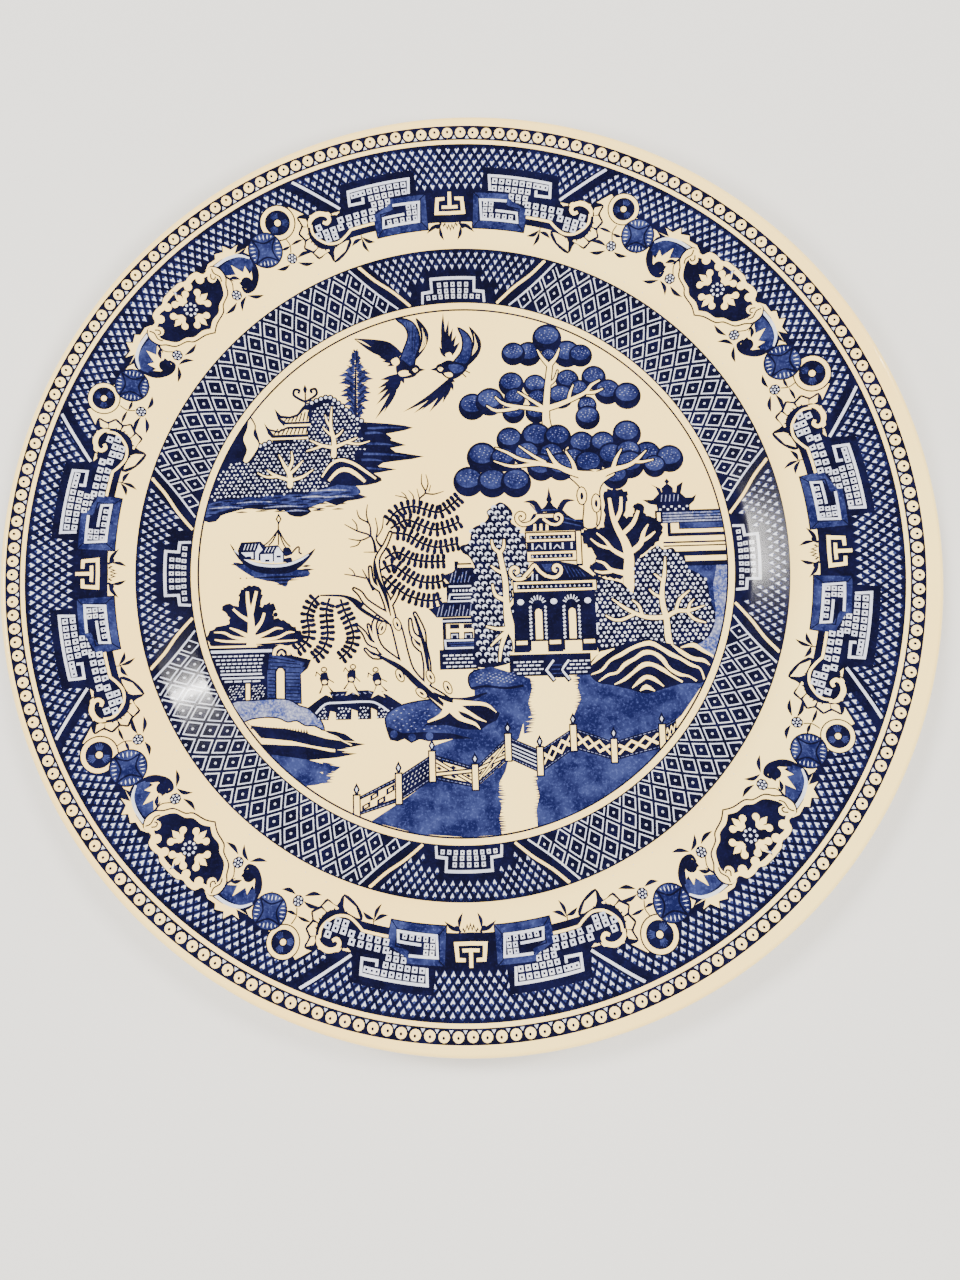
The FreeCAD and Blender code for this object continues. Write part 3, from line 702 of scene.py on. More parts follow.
def crag_tree(pen):
    """The dark tree between the pagoda and the far wall."""
    dark_bush(pen, [(42.6, 20.3), (45.5, 21.2), (49.2, 20.2), (49.0, 17.0), (48.2, 12.8), (50.8, 13.6),
                    (51.0, 16.4), (53.6, 16.4), (54.2, 13.4), (56.2, 12.6), (58.6, 10.8), (59.0, 8.6),
                    (57.6, 5.6), (54.6, 3.0), (51.6, 0.6), (49.8, -3.2), (46.0, -5.2), (42.4, -4.6),
                    (39.4, -4.0), (37.2, -1.4), (39.2, 0.2), (38.6, 3.2), (36.0, 5.6), (35.8, 9.0),
                    (38.6, 9.8), (41.8, 10.2), (42.4, 15.0)],
              [[(48.6, -7.6, 3.4), (48.6, -3.0, 3.0), (48.9, 1.0, 2.8), (48.0, 5.4, 2.3), (45.9, 9.6, 1.7),
                (44.6, 13.6, 1.3), (44.0, 18.6, 0.9)],
               [(45.2, 11.4, 1.2), (47.0, 14.6, 1.1), (47.4, 18.8, 0.8)],
               [(48.0, 8.4, 1.3), (50.6, 11.0, 1.2), (52.2, 14.6, 0.9)],
               [(49.6, 2.6, 1.6), (52.4, 4.8, 1.5), (53.4, 8.0, 1.1), (54.9, 10.5, 0.4)],
               [(53.2, 5.8, 1.0), (55.0, 6.8, 0.9), (56.8, 8.3, 0.5)],
               [(47.8, 1.2, 1.3), (44.2, 3.4, 1.1), (42.4, 6.0, 0.8), (39.8, 8.4, 0.4)],
               [(43.4, 3.8, 0.9), (40.4, 4.8, 0.8), (38.0, 6.8, 0.4)],
               [(47.6, -3.6, 1.6), (43.6, -2.5, 1.1), (41.6, -0.5, 0.8), (39.3, 0.3, 0.4)],
               [(43.6, -3.0, 0.9), (40.9, -3.2, 0.8), (38.8, -2.6, 0.4)]])


# Pagoda and buildings ------------------------------------------------------------------------------


def curl(pen, x, y, size, flip=False):
    """A pale rolled eave end."""
    spot = pen.at(x, y, size=size, flip=flip)
    route = [(-0.2, 0.2), (0.5, 0.5), (0.5, 1.4), (-0.4, 1.8), (-1.3, 1.1), (-1.2, -0.3), (0.2, -1.4),
             (2.4, -1.0), (4.4, 0.6)]
    spot.curve(INK, 1.5, route, steps=3)
    spot.curve(BARE, 0.85, route, steps=3)


def roof_horns(pen, x, y, wide):
    """Two upturned eave tips and a spire."""
    for side in (-1, 1):
        pen.blob(INK, [(x + side * (wide + 0.6), y + 2.4), (x + side * (wide - 1.6), y + 1.9),
                       (x + side * (wide - 3.0), y), (x + side * (wide - 3.6), y - 1.8),
                       (x + side * (wide - 5.2), y - 1.4), (x + side * (wide - 4.4), y + 0.9),
                       (x + side * (wide - 2.6), y + 2.9)], 3)
    pen.fill(INK, [(x, y + 6.6), (x + 0.5, y + 4.0), (x + 0.9, y + 2.8), (x + 0.5, y + 2.2),
                   (x + 1.2, y + 1.0), (x + 3.4, y - 0.8), (x - 3.4, y - 0.8), (x - 1.2, y + 1.0),
                   (x - 0.5, y + 2.2), (x - 0.9, y + 2.8), (x - 0.5, y + 4.0)])


def beam(pen, x0, x1, top, bottom):
    """A pale framed beam with a dotted dark inside."""
    pen.box(INK, x0 - 0.4, bottom - 0.4, x1 + 0.4, top + 0.4)
    pen.box(BARE, x0, bottom, x1, top)
    pen.box(INK, x0 + 0.9, bottom + 0.65, x1 - 0.9, top - 0.65)
    middle = (top + bottom) / 2
    count = int((x1 - x0 - 2.6) / 1.35)
    for k in range(count + 1):
        x = x0 + 1.4 + k * 1.35
        pen.fill(MIST, [(x - 0.3, middle - 0.25), (x + 0.35, middle - 0.25), (x, middle + 0.35)])


def colonnade(pen):
    """The pagoda's ground storey: three dark columns and two doors in beaded frames."""
    pen.box(INK, 14.9, -25.2, 38.6, -8.4)
    for x in (19.3, 29.0):
        bay = pen.at(x, 0)
        for k in range(9):
            bay.fill(MIST, [(0.0, -12.6 - k * 1.1), (0.7, -12.2 - k * 1.1), (0.9, -12.8 - k * 1.1),
                            (0.2, -13.2 - k * 1.1)])
            bay.fill(MIST, [(4.6, -12.2 - k * 1.1), (5.2, -12.6 - k * 1.1), (5.0, -13.2 - k * 1.1),
                            (4.4, -12.8 - k * 1.1)])
        for k in range(7):
            angle = math.radians(20 + 23.3 * k)
            bay.line(MIST, 0.35, [(2.6 + 1.5 * math.cos(angle), -11.8 + 1.3 * math.sin(angle)),
                                  (2.6 + 2.5 * math.cos(angle), -11.8 + 2.6 * math.sin(angle))])
        bay.fill(BARE, [(1.8, -21.9), (1.8, -14.0), (2.2, -13.3), (2.9, -13.1), (3.6, -13.5), (3.8, -14.1),
                        (3.8, -21.9)])
        bay.box(BARE, 0.4, -25.3, 5.2, -22.5)
    for x in (17.0, 26.6, 36.4):
        pen.disc(MIST, x, -11.1, 1.0, 0.85, sides=10)
        pen.box(INK, x - 2.2, -25.2, x + 2.2, -21.7)
        pen.box(BARE, x - 1.6, -23.4, x + 1.6, -22.3)
    pen.box(INK, 13.2, -32.4, 36.6, -26.2)
    pen.box(BARE, 13.4, -26.2, 38.8, -25.3)
    for x0, x1 in ((14.6, 19.2), (24.4, 28.8), (34.2, 38.6)):
        pen.box(INK, x0, -25.6, x1, -24.4)
    for x0, x1 in ((14.4, 23.4), (29.6, 36.4)):
        dashes(pen, (-28.6, -29.6, -30.7, -31.8), x0, x1)
    for x in (23.5, 27.9):
        pen.line(INK, 1.3, [(x + 2.5, -27.6), (x, -30.8), (x + 2.5, -34.0)])
        pen.line(MIST, 0.6, [(x + 2.4, -28.0), (x + 0.2, -30.8), (x + 2.4, -33.6)])
    pen.fill(INK, [(26.0, -28.4), (24.6, -30.8), (26.0, -33.0), (29.0, -33.0), (28.0, -30.8), (29.2, -28.4)])
    hatch(pen, WASH, 0.3, [(25.4, -29.4, 28.2, -29.4), (25.2, -30.6, 27.6, -30.6),
                           (25.4, -31.8, 28.2, -31.8)])


def pagoda(pen):
    """The pagoda: two roofs and two storeys on a colonnade."""
    # Upper roof: spire, horns, a dark flank and two rolled eaves.
    pen.fill(INK, [(19.0, 10.0), (21.6, 14.6), (30.4, 15.4), (31.6, 14.0), (33.8, 12.6), (36.0, 12.6),
                   (37.4, 13.6), (37.2, 11.4), (36.0, 9.4), (19.0, 9.4)])
    roof_horns(pen, 26.4, 15.8, 7.0)
    hatch(pen, WASH, 0.35, [(20.8, 17.6, 22.8, 15.0), (24.0, 15.6, 29.0, 15.6), (30.4, 13.2, 36.4, 11.6),
                            (30.0, 12.0, 35.4, 10.6)])
    pen.box(BARE, 22.4, 13.4, 28.0, 14.4)
    for x in (21.4, 23.2, 25.0):
        pen.fill(BARE, [(x, 9.6), (x + 0.2, 11.6), (x + 0.9, 11.6), (x + 0.9, 9.6)])
    curl(pen, 18.2, 13.0, 1.05)
    curl(pen, 28.6, 12.6, 0.95, flip=True)
    beam(pen, 19.3, 33.4, 8.9, 6.4)
    pen.box(INK, 19.4, 3.4, 33.8, 6.2)
    for x in (20.8, 24.4, 26.0, 29.6, 32.2):
        pen.box(MIST, x, 4.1, x + 0.5, 5.9)
    hatch(pen, MIST, 0.25, [(21.9, 4.2, 22.9, 5.4), (22.9, 5.4, 23.9, 4.2), (27.2, 4.2, 28.2, 5.4),
                            (28.2, 5.4, 29.2, 4.2)])
    beam(pen, 19.5, 33.6, 3.4, 0.8)
    pen.box(INK, 33.6, -1.0, 35.5, 9.4)
    pen.box(BARE, 33.9, -0.4, 35.1, 9.1)
    # Lower roof.
    pen.fill(INK, [(14.4, -5.0), (16.0, -4.6), (19.8, -1.2), (21.4, 0.4), (29.0, 0.4), (33.6, -0.6),
                   (39.4, -4.9), (39.0, -5.4)])
    pen.fill(WASH, [(23.4, -0.2), (28.6, -0.2), (29.0, -2.0), (26.6, -2.6), (24.6, -2.4)])
    hatch(pen, WASH, 0.3, [(30.0 + k, -0.8 - 0.3 * k, 31.6 + k, -4.2) for k in (0, 1.1, 2.2, 3.3, 4.4)])
    curl(pen, 15.9, -2.9, 1.1)
    curl(pen, 27.6, -2.6, 1.1, flip=True)
    pen.curve(INK, 1.6, [(18.4, -3.8), (20.0, -2.0), (21.4, -0.4), (22.8, -2.2), (24.8, -3.8)])
    pen.curve(BARE, 0.9, [(18.2, -3.8), (20.0, -2.0), (21.4, -0.5), (22.8, -2.2), (24.8, -3.8)])
    hatch(pen, MIST, 0.45, [(20.6, -4.8, 20.8, -3.0), (22.0, -4.8, 22.0, -3.2)])
    beam(pen, 15.2, 39.0, -5.3, -8.1)
    colonnade(pen)


def side_house(pen):
    """The two-storey house on the pagoda's left."""
    pen.fill(INK, [(-1.9, 1.4), (-0.9, 1.4), (-0.6, 0.8), (3.0, 0.8), (3.6, -0.8), (-1.9, -1.2)])
    pen.box(BARE, -1.0, -0.5, 3.4, 0.3)
    for x, y, wide in ((-5.9, -2.5, 10.0), (-9.9, -12.2, 14.0)):
        left = x + 4.0
        pen.fill(INK, [(x, y), (x + 1.6, y + 0.2), (left - 0.6, y + 0.8), (left + 0.4, y + 1.8),
                       (x + wide, y + 1.8), (x + wide, y - 2.6), (left - 1.6, y - 2.7), (x + 1.6, y - 1.7)])
        for k in range(int(wide - 4)):
            hatch(pen, STIPPLE, 0.24, [(left - 1.4 + k * 1.05, y - 2.3, left - 0.6 + k * 1.02,
                                        y + 0.4 + 0.9 * math.sin(k * 2.2))])
    pen.box(INK, -4.4, -10.8, 3.4, -5.0)
    pen.box(MIST, -3.7, -6.2, 2.8, -5.7)
    for k in range(6):
        pen.box(MIST, -2.6 + k * 0.95, -7.5, -2.1 + k * 0.95, -6.9)
    pen.line(MIST, 0.45, [(3.0, -8.3), (-3.4, -8.3), (-3.9, -10.3), (3.0, -10.3)])
    pen.line(MIST, 0.3, [(-2.4, -9.3), (2.6, -9.3)])
    pen.box(INK, -5.8, -29.9, 4.2, -15.0)
    pen.box(INK, -6.9, -29.9, 4.2, -24.2)
    pen.box(MIST, -6.0, -16.2, 3.2, -15.7)
    pen.box(BARE, -4.8, -21.0, 3.6, -16.8)
    for x in (-3.7, 0.3):
        pen.box(INK, x, -18.2, x + 2.7, -16.9)
        pen.box(INK, x, -21.1, x + 2.7, -19.2)
        pen.line(MIST, 0.3, [(x + 0.5, -20.9), (x + 0.5, -19.9), (x + 2.1, -19.9), (x + 2.1, -20.9)])
    pen.line(MIST, 0.5, [(5.4, -21.6), (-5.2, -21.6), (-5.0, -23.8), (5.8, -23.8)])
    hatch(pen, WASH, 0.35, [(-4.2, -22.4, 5.0, -22.3), (-3.6, -23.1, 5.0, -23.1)])
    dashes(pen, (-26.1, -27.1, -28.2, -29.3), -5.9, 4.0)


def scallop_tree(pen):
    """The tall tree of scalloped leaves between the house and the pagoda."""
    crown = [(12.0, 18.4), (14.2, 17.2), (15.6, 15.0), (15.0, 12.4), (16.6, 11.0), (17.6, 9.2), (19.0, 7.4),
             (19.3, 4.8), (19.8, 0.0), (18.6, -2.6), (14.6, -4.8), (15.2, -12.0), (16.0, -20.0),
             (15.6, -27.4), (4.0, -29.4), (3.2, -19.0), (2.4, -15.0), (2.9, -10.0), (3.2, -5.0), (4.2, -1.6),
             (2.6, 2.4), (0.6, 3.8), (0.0, 5.8), (2.6, 6.6), (3.0, 8.4), (3.8, 11.0), (7.0, 12.4),
             (8.4, 14.0), (8.0, 15.8), (10.0, 17.2)]
    pen.blob(INK, crown, 3)
    for x, y in scatter(crown, 2.25, 1.72):
        leaf = pen.at(x, y)
        leaf.disc(MIST, 0, 0, 0.86, 0.72, sides=9)
        leaf.disc(INK, 0.16, -0.34, 0.52, 0.42, sides=7)
    branches(pen, [
        [(14.6, -27.0, 1.0), (15.0, -22.4, 1.4), (13.6, -17.6, 2.6), (12.9, -11.6, 1.7), (12.8, -5.0, 1.5),
         (11.9, 0.4, 1.4), (11.3, 3.8, 1.3)],
        [(11.4, 3.4, 1.0), (9.6, 5.2, 0.8), (9.2, 7.4, 0.5)],
        [(11.4, 3.4, 1.0), (12.6, 5.0, 0.8), (12.8, 7.4, 0.5)],
        [(12.6, -2.6, 1.0), (10.4, -1.6, 0.8), (8.8, -0.2, 0.5)],
        [(12.6, -10.4, 1.2), (9.8, -8.8, 0.9), (9.0, -5.6, 0.5)],
        [(13.0, -12.6, 1.1), (14.4, -11.4, 0.9), (15.2, -9.8, 0.5)],
        [(13.8, -18.6, 1.4), (10.0, -18.6, 0.9), (6.8, -17.8, 0.5)],
        [(13.4, -19.0, 1.2), (10.4, -21.2, 0.9), (8.0, -23.5, 0.4)],
        [(12.6, -19.6, 1.2), (11.0, -23.8, 1.0), (10.4, -28.0, 0.5)],
    ], 0.35)


def far_house(pen):
    """The small pagoda and stepped walls at the far right."""
    pen.fill(INK, [(60.9, 23.8), (61.7, 22.9), (61.2, 22.2), (62.6, 21.0), (62.6, 19.8), (63.4, 19.6),
                   (63.8, 21.6), (65.6, 22.7), (64.8, 19.4), (66.2, 18.0), (68.0, 18.0), (69.3, 18.9),
                   (68.6, 17.0), (67.2, 15.8), (67.2, 14.2), (57.8, 14.2), (57.6, 16.0), (55.6, 16.4),
                   (53.6, 17.7), (56.6, 17.6), (58.4, 19.4), (57.6, 21.2), (56.2, 22.2), (58.8, 21.0),
                   (59.4, 19.6), (59.3, 21.0), (60.7, 22.2), (60.2, 22.9)])
    hatch(pen, STIPPLE, 0.25, [(59.0 + k, 17.0, 59.3 + k, 19.0) for k in (0, 1.2, 2.4, 3.6, 4.8)])
    for k in range(8):
        pen.box(MIST, 58.3 + k * 1.12, 14.4 + 0.8 * (k % 2), 58.9 + k * 1.12, 14.95 + 0.8 * (k % 2))
    pen.box(INK, 57.0, 10.6, 77.0, 14.4)
    pen.box(BARE, 57.6, 11.2, 58.6, 13.8)
    hatch(pen, STIPPLE, 0.45, [(59.2, 13.5 - 0.8 * k, 77.0, 13.6 - 0.8 * k) for k in range(4)])
    pen.box(WASH, 63.8, 8.9, 77.0, 10.6)
    pen.line(INK, 1.0, [(60.9, 10.8), (60.9, 7.2), (77.0, 7.2)])
    pen.line(INK, 0.3, [(63.9, 10.6), (63.9, 8.9), (77.0, 8.9)])
    pen.box(INK, 59.0, 4.7, 77.0, 5.2)
    pen.box(INK, 59.0, 3.7, 77.0, 4.1)
    pen.box(INK, 62.4, 0.9, 77.2, 2.3)
    pen.box(INK, 64.4, -2.0, 77.4, -0.6)


def orchard(pen):
    """The dotted bushes on the right with their pale tree."""
    pen.fill(STIPPLE, [(64.0, -2.0), (77.6, -2.0), (77.0, -8.0), (75.4, -16.0), (73.4, -25.0), (70.0, -31.0),
                       (62.0, -26.0)])
    pen.fill(WASH, [(64.0, -2.0), (74.0, -2.0), (72.6, -8.0), (73.0, -15.0), (71.0, -22.0), (64.0, -25.0)])
    bush = [(37.6, -5.2), (42.0, -5.2), (46.6, -6.4), (49.6, -9.4), (50.2, -2.0), (51.2, 0.2), (53.4, 1.4),
            (55.2, 3.0), (57.4, 4.2), (59.0, 3.0), (61.6, 3.4), (63.0, 1.4), (65.0, 0.8), (65.4, -2.4),
            (68.2, -4.0), (70.6, -6.0), (71.3, -9.0), (71.6, -12.0), (72.8, -16.0), (72.0, -20.0),
            (69.4, -23.4), (63.0, -25.4), (42.0, -25.4), (38.6, -24.6)]
    pen.blob(INK, bush, 3)
    for x, y in scatter(bush, 1.5, 1.22):
        pen.disc(MIST, x, y, 0.44, sides=6)
    pen.disc(MIST, 38.6, -13.0, 0.7, 1.3, sides=8)
    pen.disc(MIST, 38.4, -19.0, 0.7, 1.5, sides=8)
    branches(pen, [
        [(60.4, -27.0, 1.4), (59.0, -22.6, 1.8), (58.8, -17.4, 1.6), (57.9, -12.6, 1.5), (58.0, -8.4, 1.2),
         (58.8, -4.4, 1.0), (59.3, 0.8, 0.4)],
        [(58.4, -6.2, 0.9), (57.0, -5.0, 0.7), (55.9, -4.0, 0.4)],
        [(57.8, -11.0, 0.9), (55.8, -10.0, 0.7), (54.2, -8.4, 0.4)],
        [(58.4, -16.6, 1.3), (54.0, -16.6, 1.2), (50.6, -15.6, 1.0), (47.0, -13.6, 0.9), (43.4, -10.9, 0.4)],
        [(51.8, -15.6, 0.9), (51.0, -13.0, 0.7), (49.2, -11.4, 0.4)],
        [(49.4, -15.6, 0.9), (46.0, -17.0, 0.8), (43.4, -16.8, 0.7), (41.4, -15.6, 0.4)],
        [(59.0, -16.4, 1.2), (62.0, -14.9, 1.1), (65.4, -14.9, 0.9), (69.8, -13.6, 0.3)],
        [(61.6, -14.8, 0.9), (62.8, -11.6, 0.8), (65.8, -9.1, 0.4)],
        [(65.2, -14.4, 0.8), (65.8, -12.8, 0.6), (67.0, -11.6, 0.3)],
        [(65.0, -15.4, 0.8), (66.8, -17.4, 0.8), (70.0, -18.5, 0.4)],
    ], 0.3)


def mound(pen):
    """The hill of wavy bands by the water."""
    pen.blob(INK, [(35.8, -31.6), (36.8, -28.4), (40.0, -26.0), (46.0, -24.0), (53.0, -22.6), (60.0, -24.4),
                   (66.0, -24.0), (71.0, -28.4), (72.0, -31.0), (68.6, -35.4), (63.0, -35.6), (58.4, -36.6),
                   (52.0, -38.2), (47.6, -37.0), (42.4, -35.6), (38.0, -34.6)], 3)
    bands = (
        [(36.6, -29.6), (39.6, -26.9), (43.4, -25.2)],
        [(36.4, -32.4), (39.6, -31.2), (42.0, -28.6), (45.2, -27.0), (49.0, -25.0), (53.6, -23.9),
         (57.0, -25.6), (59.4, -27.2), (62.2, -28.6), (65.0, -30.4), (67.6, -31.6), (68.6, -34.6)],
        [(38.6, -34.4), (41.4, -32.6), (44.0, -32.0), (46.2, -29.8), (49.2, -28.2), (51.8, -26.6),
         (54.6, -26.8), (57.0, -28.6), (58.8, -31.2), (61.6, -33.0), (64.2, -33.6), (66.4, -35.0)],
        [(43.0, -35.4), (46.0, -34.0), (48.8, -31.9), (51.4, -30.1), (54.0, -30.0), (57.0, -31.6),
         (59.2, -33.2), (62.4, -35.2)],
        [(48.0, -36.5), (50.4, -34.5), (52.2, -33.5), (54.4, -34.2), (57.0, -36.3)],
        [(50.2, -37.4), (52.0, -36.3), (54.4, -37.5)],
        [(59.8, -24.4), (62.4, -26.6), (65.6, -28.6), (68.6, -29.2), (70.4, -30.6)],
        [(62.4, -25.4), (66.0, -24.8), (68.6, -26.4), (71.6, -28.2)],
    )
    for band in bands:
        last = len(band) - 1
        pen.brush(BARE, [(x, y, 0.3 + 0.8 * math.sin(math.pi * k / last) + 0.25 * (k % 2))
                         for k, (x, y) in enumerate(band)], 3)


# Water, fence and banks ----------------------------------------------------------------------------


def ragged(pen, tone, x, y0, y1, reach, seed):
    """A comb of short horizontal strokes that frays an edge of water."""
    back = math.copysign(1.6, reach)
    count = int(abs(y1 - y0) / 0.42)
    for k in range(count):
        y = y0 + (y1 - y0) * (k + 0.5 + 0.35 * math.sin(k * 4.1)) / count
        far = reach * (0.25 + 0.5 * abs(math.sin(k * 1.7 + seed)) + 0.25 * math.sin(k * 0.31 + seed))
        pen.fill(tone, [(x - back, y - 0.35), (x + far, y), (x - back, y + 0.45)])


def water(pen):
    """Four sheets of water, two behind the fence and two before it, with frayed edges."""
    left = [(2.6, -30.0), (13.0, -31.0), (19.0, -33.0), (19.4, -36.0), (18.2, -40.0), (19.0, -43.0),
            (16.4, -46.0), (15.2, -49.8), (10.0, -56.0), (2.4, -58.0), (-9.8, -55.0), (-9.6, -51.4),
            (-3.0, -49.4), (3.0, -42.0)]
    right = [(33.4, -31.6), (32.4, -36.0), (33.4, -39.0), (31.4, -43.0), (29.8, -46.6), (30.6, -49.0),
             (42.0, -53.0), (56.0, -49.0), (61.6, -44.6), (69.6, -34.0), (66.0, -33.0), (40.0, -30.0)]
    near_left = [(-27.6, -72.0), (-19.4, -67.0), (-9.8, -60.6), (2.4, -63.4), (12.0, -55.6), (11.0, -59.0),
                 (9.2, -62.0), (8.8, -66.0), (9.6, -69.0), (8.8, -72.0), (9.4, -76.4), (0.0, -77.0),
                 (-14.0, -75.8)]
    near_right = [(21.0, -59.6), (30.6, -53.0), (42.0, -56.6), (56.0, -52.8), (48.0, -60.6), (38.0, -67.4),
                  (28.0, -72.2), (19.6, -74.8), (19.4, -70.0), (20.4, -66.0), (19.6, -62.0)]
    for area in (left, right, near_left, near_right):
        pen.fill(WASH, area)
    ragged(pen, WASH, 18.2, -33.4, -48.6, 2.4, 0.4)
    ragged(pen, WASH, 32.8, -32.4, -42.4, -1.8, 1.1)
    ragged(pen, WASH, 9.2, -58.0, -75.4, 1.9, 2.3)
    ragged(pen, WASH, 20.2, -60.4, -74.2, -1.8, 0.9)


# The fence's posts, from the left: x, height of the top and height of the foot.
POSTS = ((-31.6, -64.8, -71.0), (-19.5, -59.0, -67.3), (-9.8, -53.0, -61.3), (2.4, -57.0, -63.9),
         (12.0, -48.6, -56.0), (21.0, -52.6, -60.3), (30.7, -46.6, -53.7), (42.1, -50.8, -57.2),
         (55.9, -47.1, -54.0))


def fence_panel(panel, number):
    """One panel of the fence in a unit square: two dotted rails and the lattice of its number."""
    panel.box(INK, 0, 0, 1, 1)
    if number in (0, 2, 3):
        panel.box(BARE, 0.07, 0.2, 0.93, 0.8)
    for v in (0.07, 0.9):
        for k in range(10):
            panel.fill(STIPPLE, [(0.04 + k * 0.095, v), (0.1 + k * 0.095, v), (0.1 + k * 0.095, v + 0.03),
                                 (0.04 + k * 0.095, v + 0.03)])
    if number == 0:
        for u, v in ((0.22, 0.34), (0.42, 0.66), (0.58, 0.32), (0.8, 0.62)):
            panel.fill(INK, [(u - 0.1, v - 0.16), (u + 0.1, v - 0.1), (u + 0.1, v + 0.16),
                             (u - 0.1, v + 0.1)])
            panel.fill(BARE, [(u - 0.045, v - 0.07), (u + 0.045, v - 0.04), (u + 0.045, v + 0.07),
                              (u - 0.045, v + 0.04)])
    elif number == 1:
        for k in range(28):
            u, v = 0.1 + (k % 7) * 0.12 + 0.04 * (k // 7 % 2), 0.26 + (k // 7) * 0.15
            panel.fill(MIST, [(u, v), (u + 0.05, v + 0.02), (u + 0.04, v + 0.07)])
    elif number in (2, 3):
        for turn in ((0.07, 0.78, 0.93, 0.22), (0.07, 0.22, 0.93, 0.78)):
            panel.line(INK, 0.2, [turn[:2], turn[2:]])
            panel.line(BARE, 0.08, [turn[:2], turn[2:]])
        for u, v in ((0.5, 0.3), (0.5, 0.7), (0.16, 0.5), (0.84, 0.5)):
            panel.fill(INK, [(u - 0.07, v), (u, v - 0.08), (u + 0.07, v), (u, v + 0.08)])
    elif number == 4:
        for v in (0.24, 0.4, 0.56, 0.72):
            panel.line(MIST, 0.06, [(0.12, v), (0.9, v)])
    else:
        for low, high in ((0.24, 0.76), (0.76, 0.24)):
            panel.line(BARE, 0.085, [(0.08, low), (0.36, high), (0.64, low), (0.92, high)])


def fence(pen):
    """The zigzag fence: its panels, and posts with spear tops."""
    ends = POSTS[1:] + ((60.0, -44.8, -51.6),)
    for number, (a, b) in enumerate(zip(POSTS, ends)):
        ax, a_top, a_foot = a[0], a[1] - 0.6, a[2] + 0.5
        bx, b_top, b_foot = b[0], b[1] - 0.6, b[2] + 0.5

        def spot(u, v):
            """A point of the panel's unit square, in the scene."""
            x = ax + (bx - ax) * u
            low = a_foot + (b_foot - a_foot) * u
            return x, low + (a_top + (b_top - a_top) * u - low) * v

        fence_panel(Pen(pen.shapes, spot), number)
    for x, top, foot in POSTS:
        pen.box(INK, x - 1.15, foot - 0.4, x + 1.15, top + 0.45)
        pen.box(BARE, x - 0.75, foot, x + 0.75, top)
        pen.fill(INK, [(x, top + 3.6), (x + 0.95, top + 1.7), (x + 0.35, top + 0.3), (x - 0.35, top + 0.3),
                       (x - 0.95, top + 1.7)])
        pen.fill(MIST, [(x, top + 2.5), (x + 0.4, top + 1.7), (x, top + 0.9), (x - 0.4, top + 1.7)])


def gatehouse(pen):
    """The walled gate on the left."""
    pen.fill(INK, [(-75.0, -21.4), (-54.0, -21.4), (-51.8, -21.6), (-49.6, -24.6), (-44.2, -26.0),
                   (-45.2, -28.4), (-47.2, -30.0), (-47.0, -38.6), (-57.0, -37.6), (-68.0, -38.0),
                   (-73.0, -30.0)])
    pen.box(BARE, -74.4, -21.9, -60.0, -21.3)
    pen.box(MIST, -73.6, -23.4, -55.6, -22.6)
    for k, y in enumerate((-24.6, -25.7, -26.8, -27.8, -28.8)):
        dashes(pen, (y,), -73.0 + 0.6 * k + 0.4 * (k % 2), -57.4, 1.1, 0.45, 0.42)
    hatch(pen, MIST, 0.5, [(-70.6, -29.6, -58.6, -29.6), (-70.2, -30.7, -58.0, -30.7)])
    dashes(pen, (-31.9,), -69.4, -57.8, 2.2, 0.5, 0.45)
    for x0, x1 in ((-68.4, -63.9), (-61.6, -57.8)):
        for x, y in scatter([(x0, -36.8), (x1, -36.8), (x1, -32.6), (x0, -32.6)], 0.9, 0.75):
            pen.fill(MIST, [(x - 0.25, y - 0.2), (x + 0.3, y - 0.1), (x + 0.15, y + 0.25)])
    pen.box(BARE, -63.3, -37.2, -62.1, -32.4)
    pen.box(WASH, -57.0, -37.4, -54.8, -28.6)
    pen.fill(WASH, [(-51.6, -37.6), (-51.6, -28.4), (-46.0, -28.0), (-47.4, -30.4), (-47.4, -38.2)])
    hatch(pen, INK, 0.3, [(-56.8, -29.6 - k, -54.8, -29.8 - k) for k in range(8)])
    hatch(pen, INK, 0.3, [(-51.6, -29.4 - k, -47.6, -29.6 - k) for k in range(9)])
    pen.fill(WASH, [(-56.4, -24.0), (-49.6, -25.6), (-46.0, -26.8), (-47.2, -28.4), (-56.8, -28.2)])
    hatch(pen, INK, 0.3, [(-56.4, -25.0, -49.0, -26.4), (-56.4, -26.2, -47.4, -27.2),
                          (-56.4, -27.4, -47.2, -28.2)])
    pen.curve(BARE, 1.0, [(-55.0, -24.4), (-54.6, -22.8), (-52.8, -21.9), (-51.0, -22.9), (-50.7, -24.4)])
    pen.curve(BARE, 0.6, [(-53.8, -24.4), (-52.9, -23.4), (-52.0, -24.4)])
    pen.fill(INK, [(-54.6, -37.6), (-54.6, -29.0), (-54.0, -27.8), (-52.6, -27.8), (-51.8, -29.0),
                   (-51.8, -37.6)])
    pen.fill(BARE, [(-54.3, -37.3), (-54.3, -29.2), (-53.7, -28.2), (-52.7, -28.2), (-52.1, -29.2),
                    (-52.1, -37.3)])


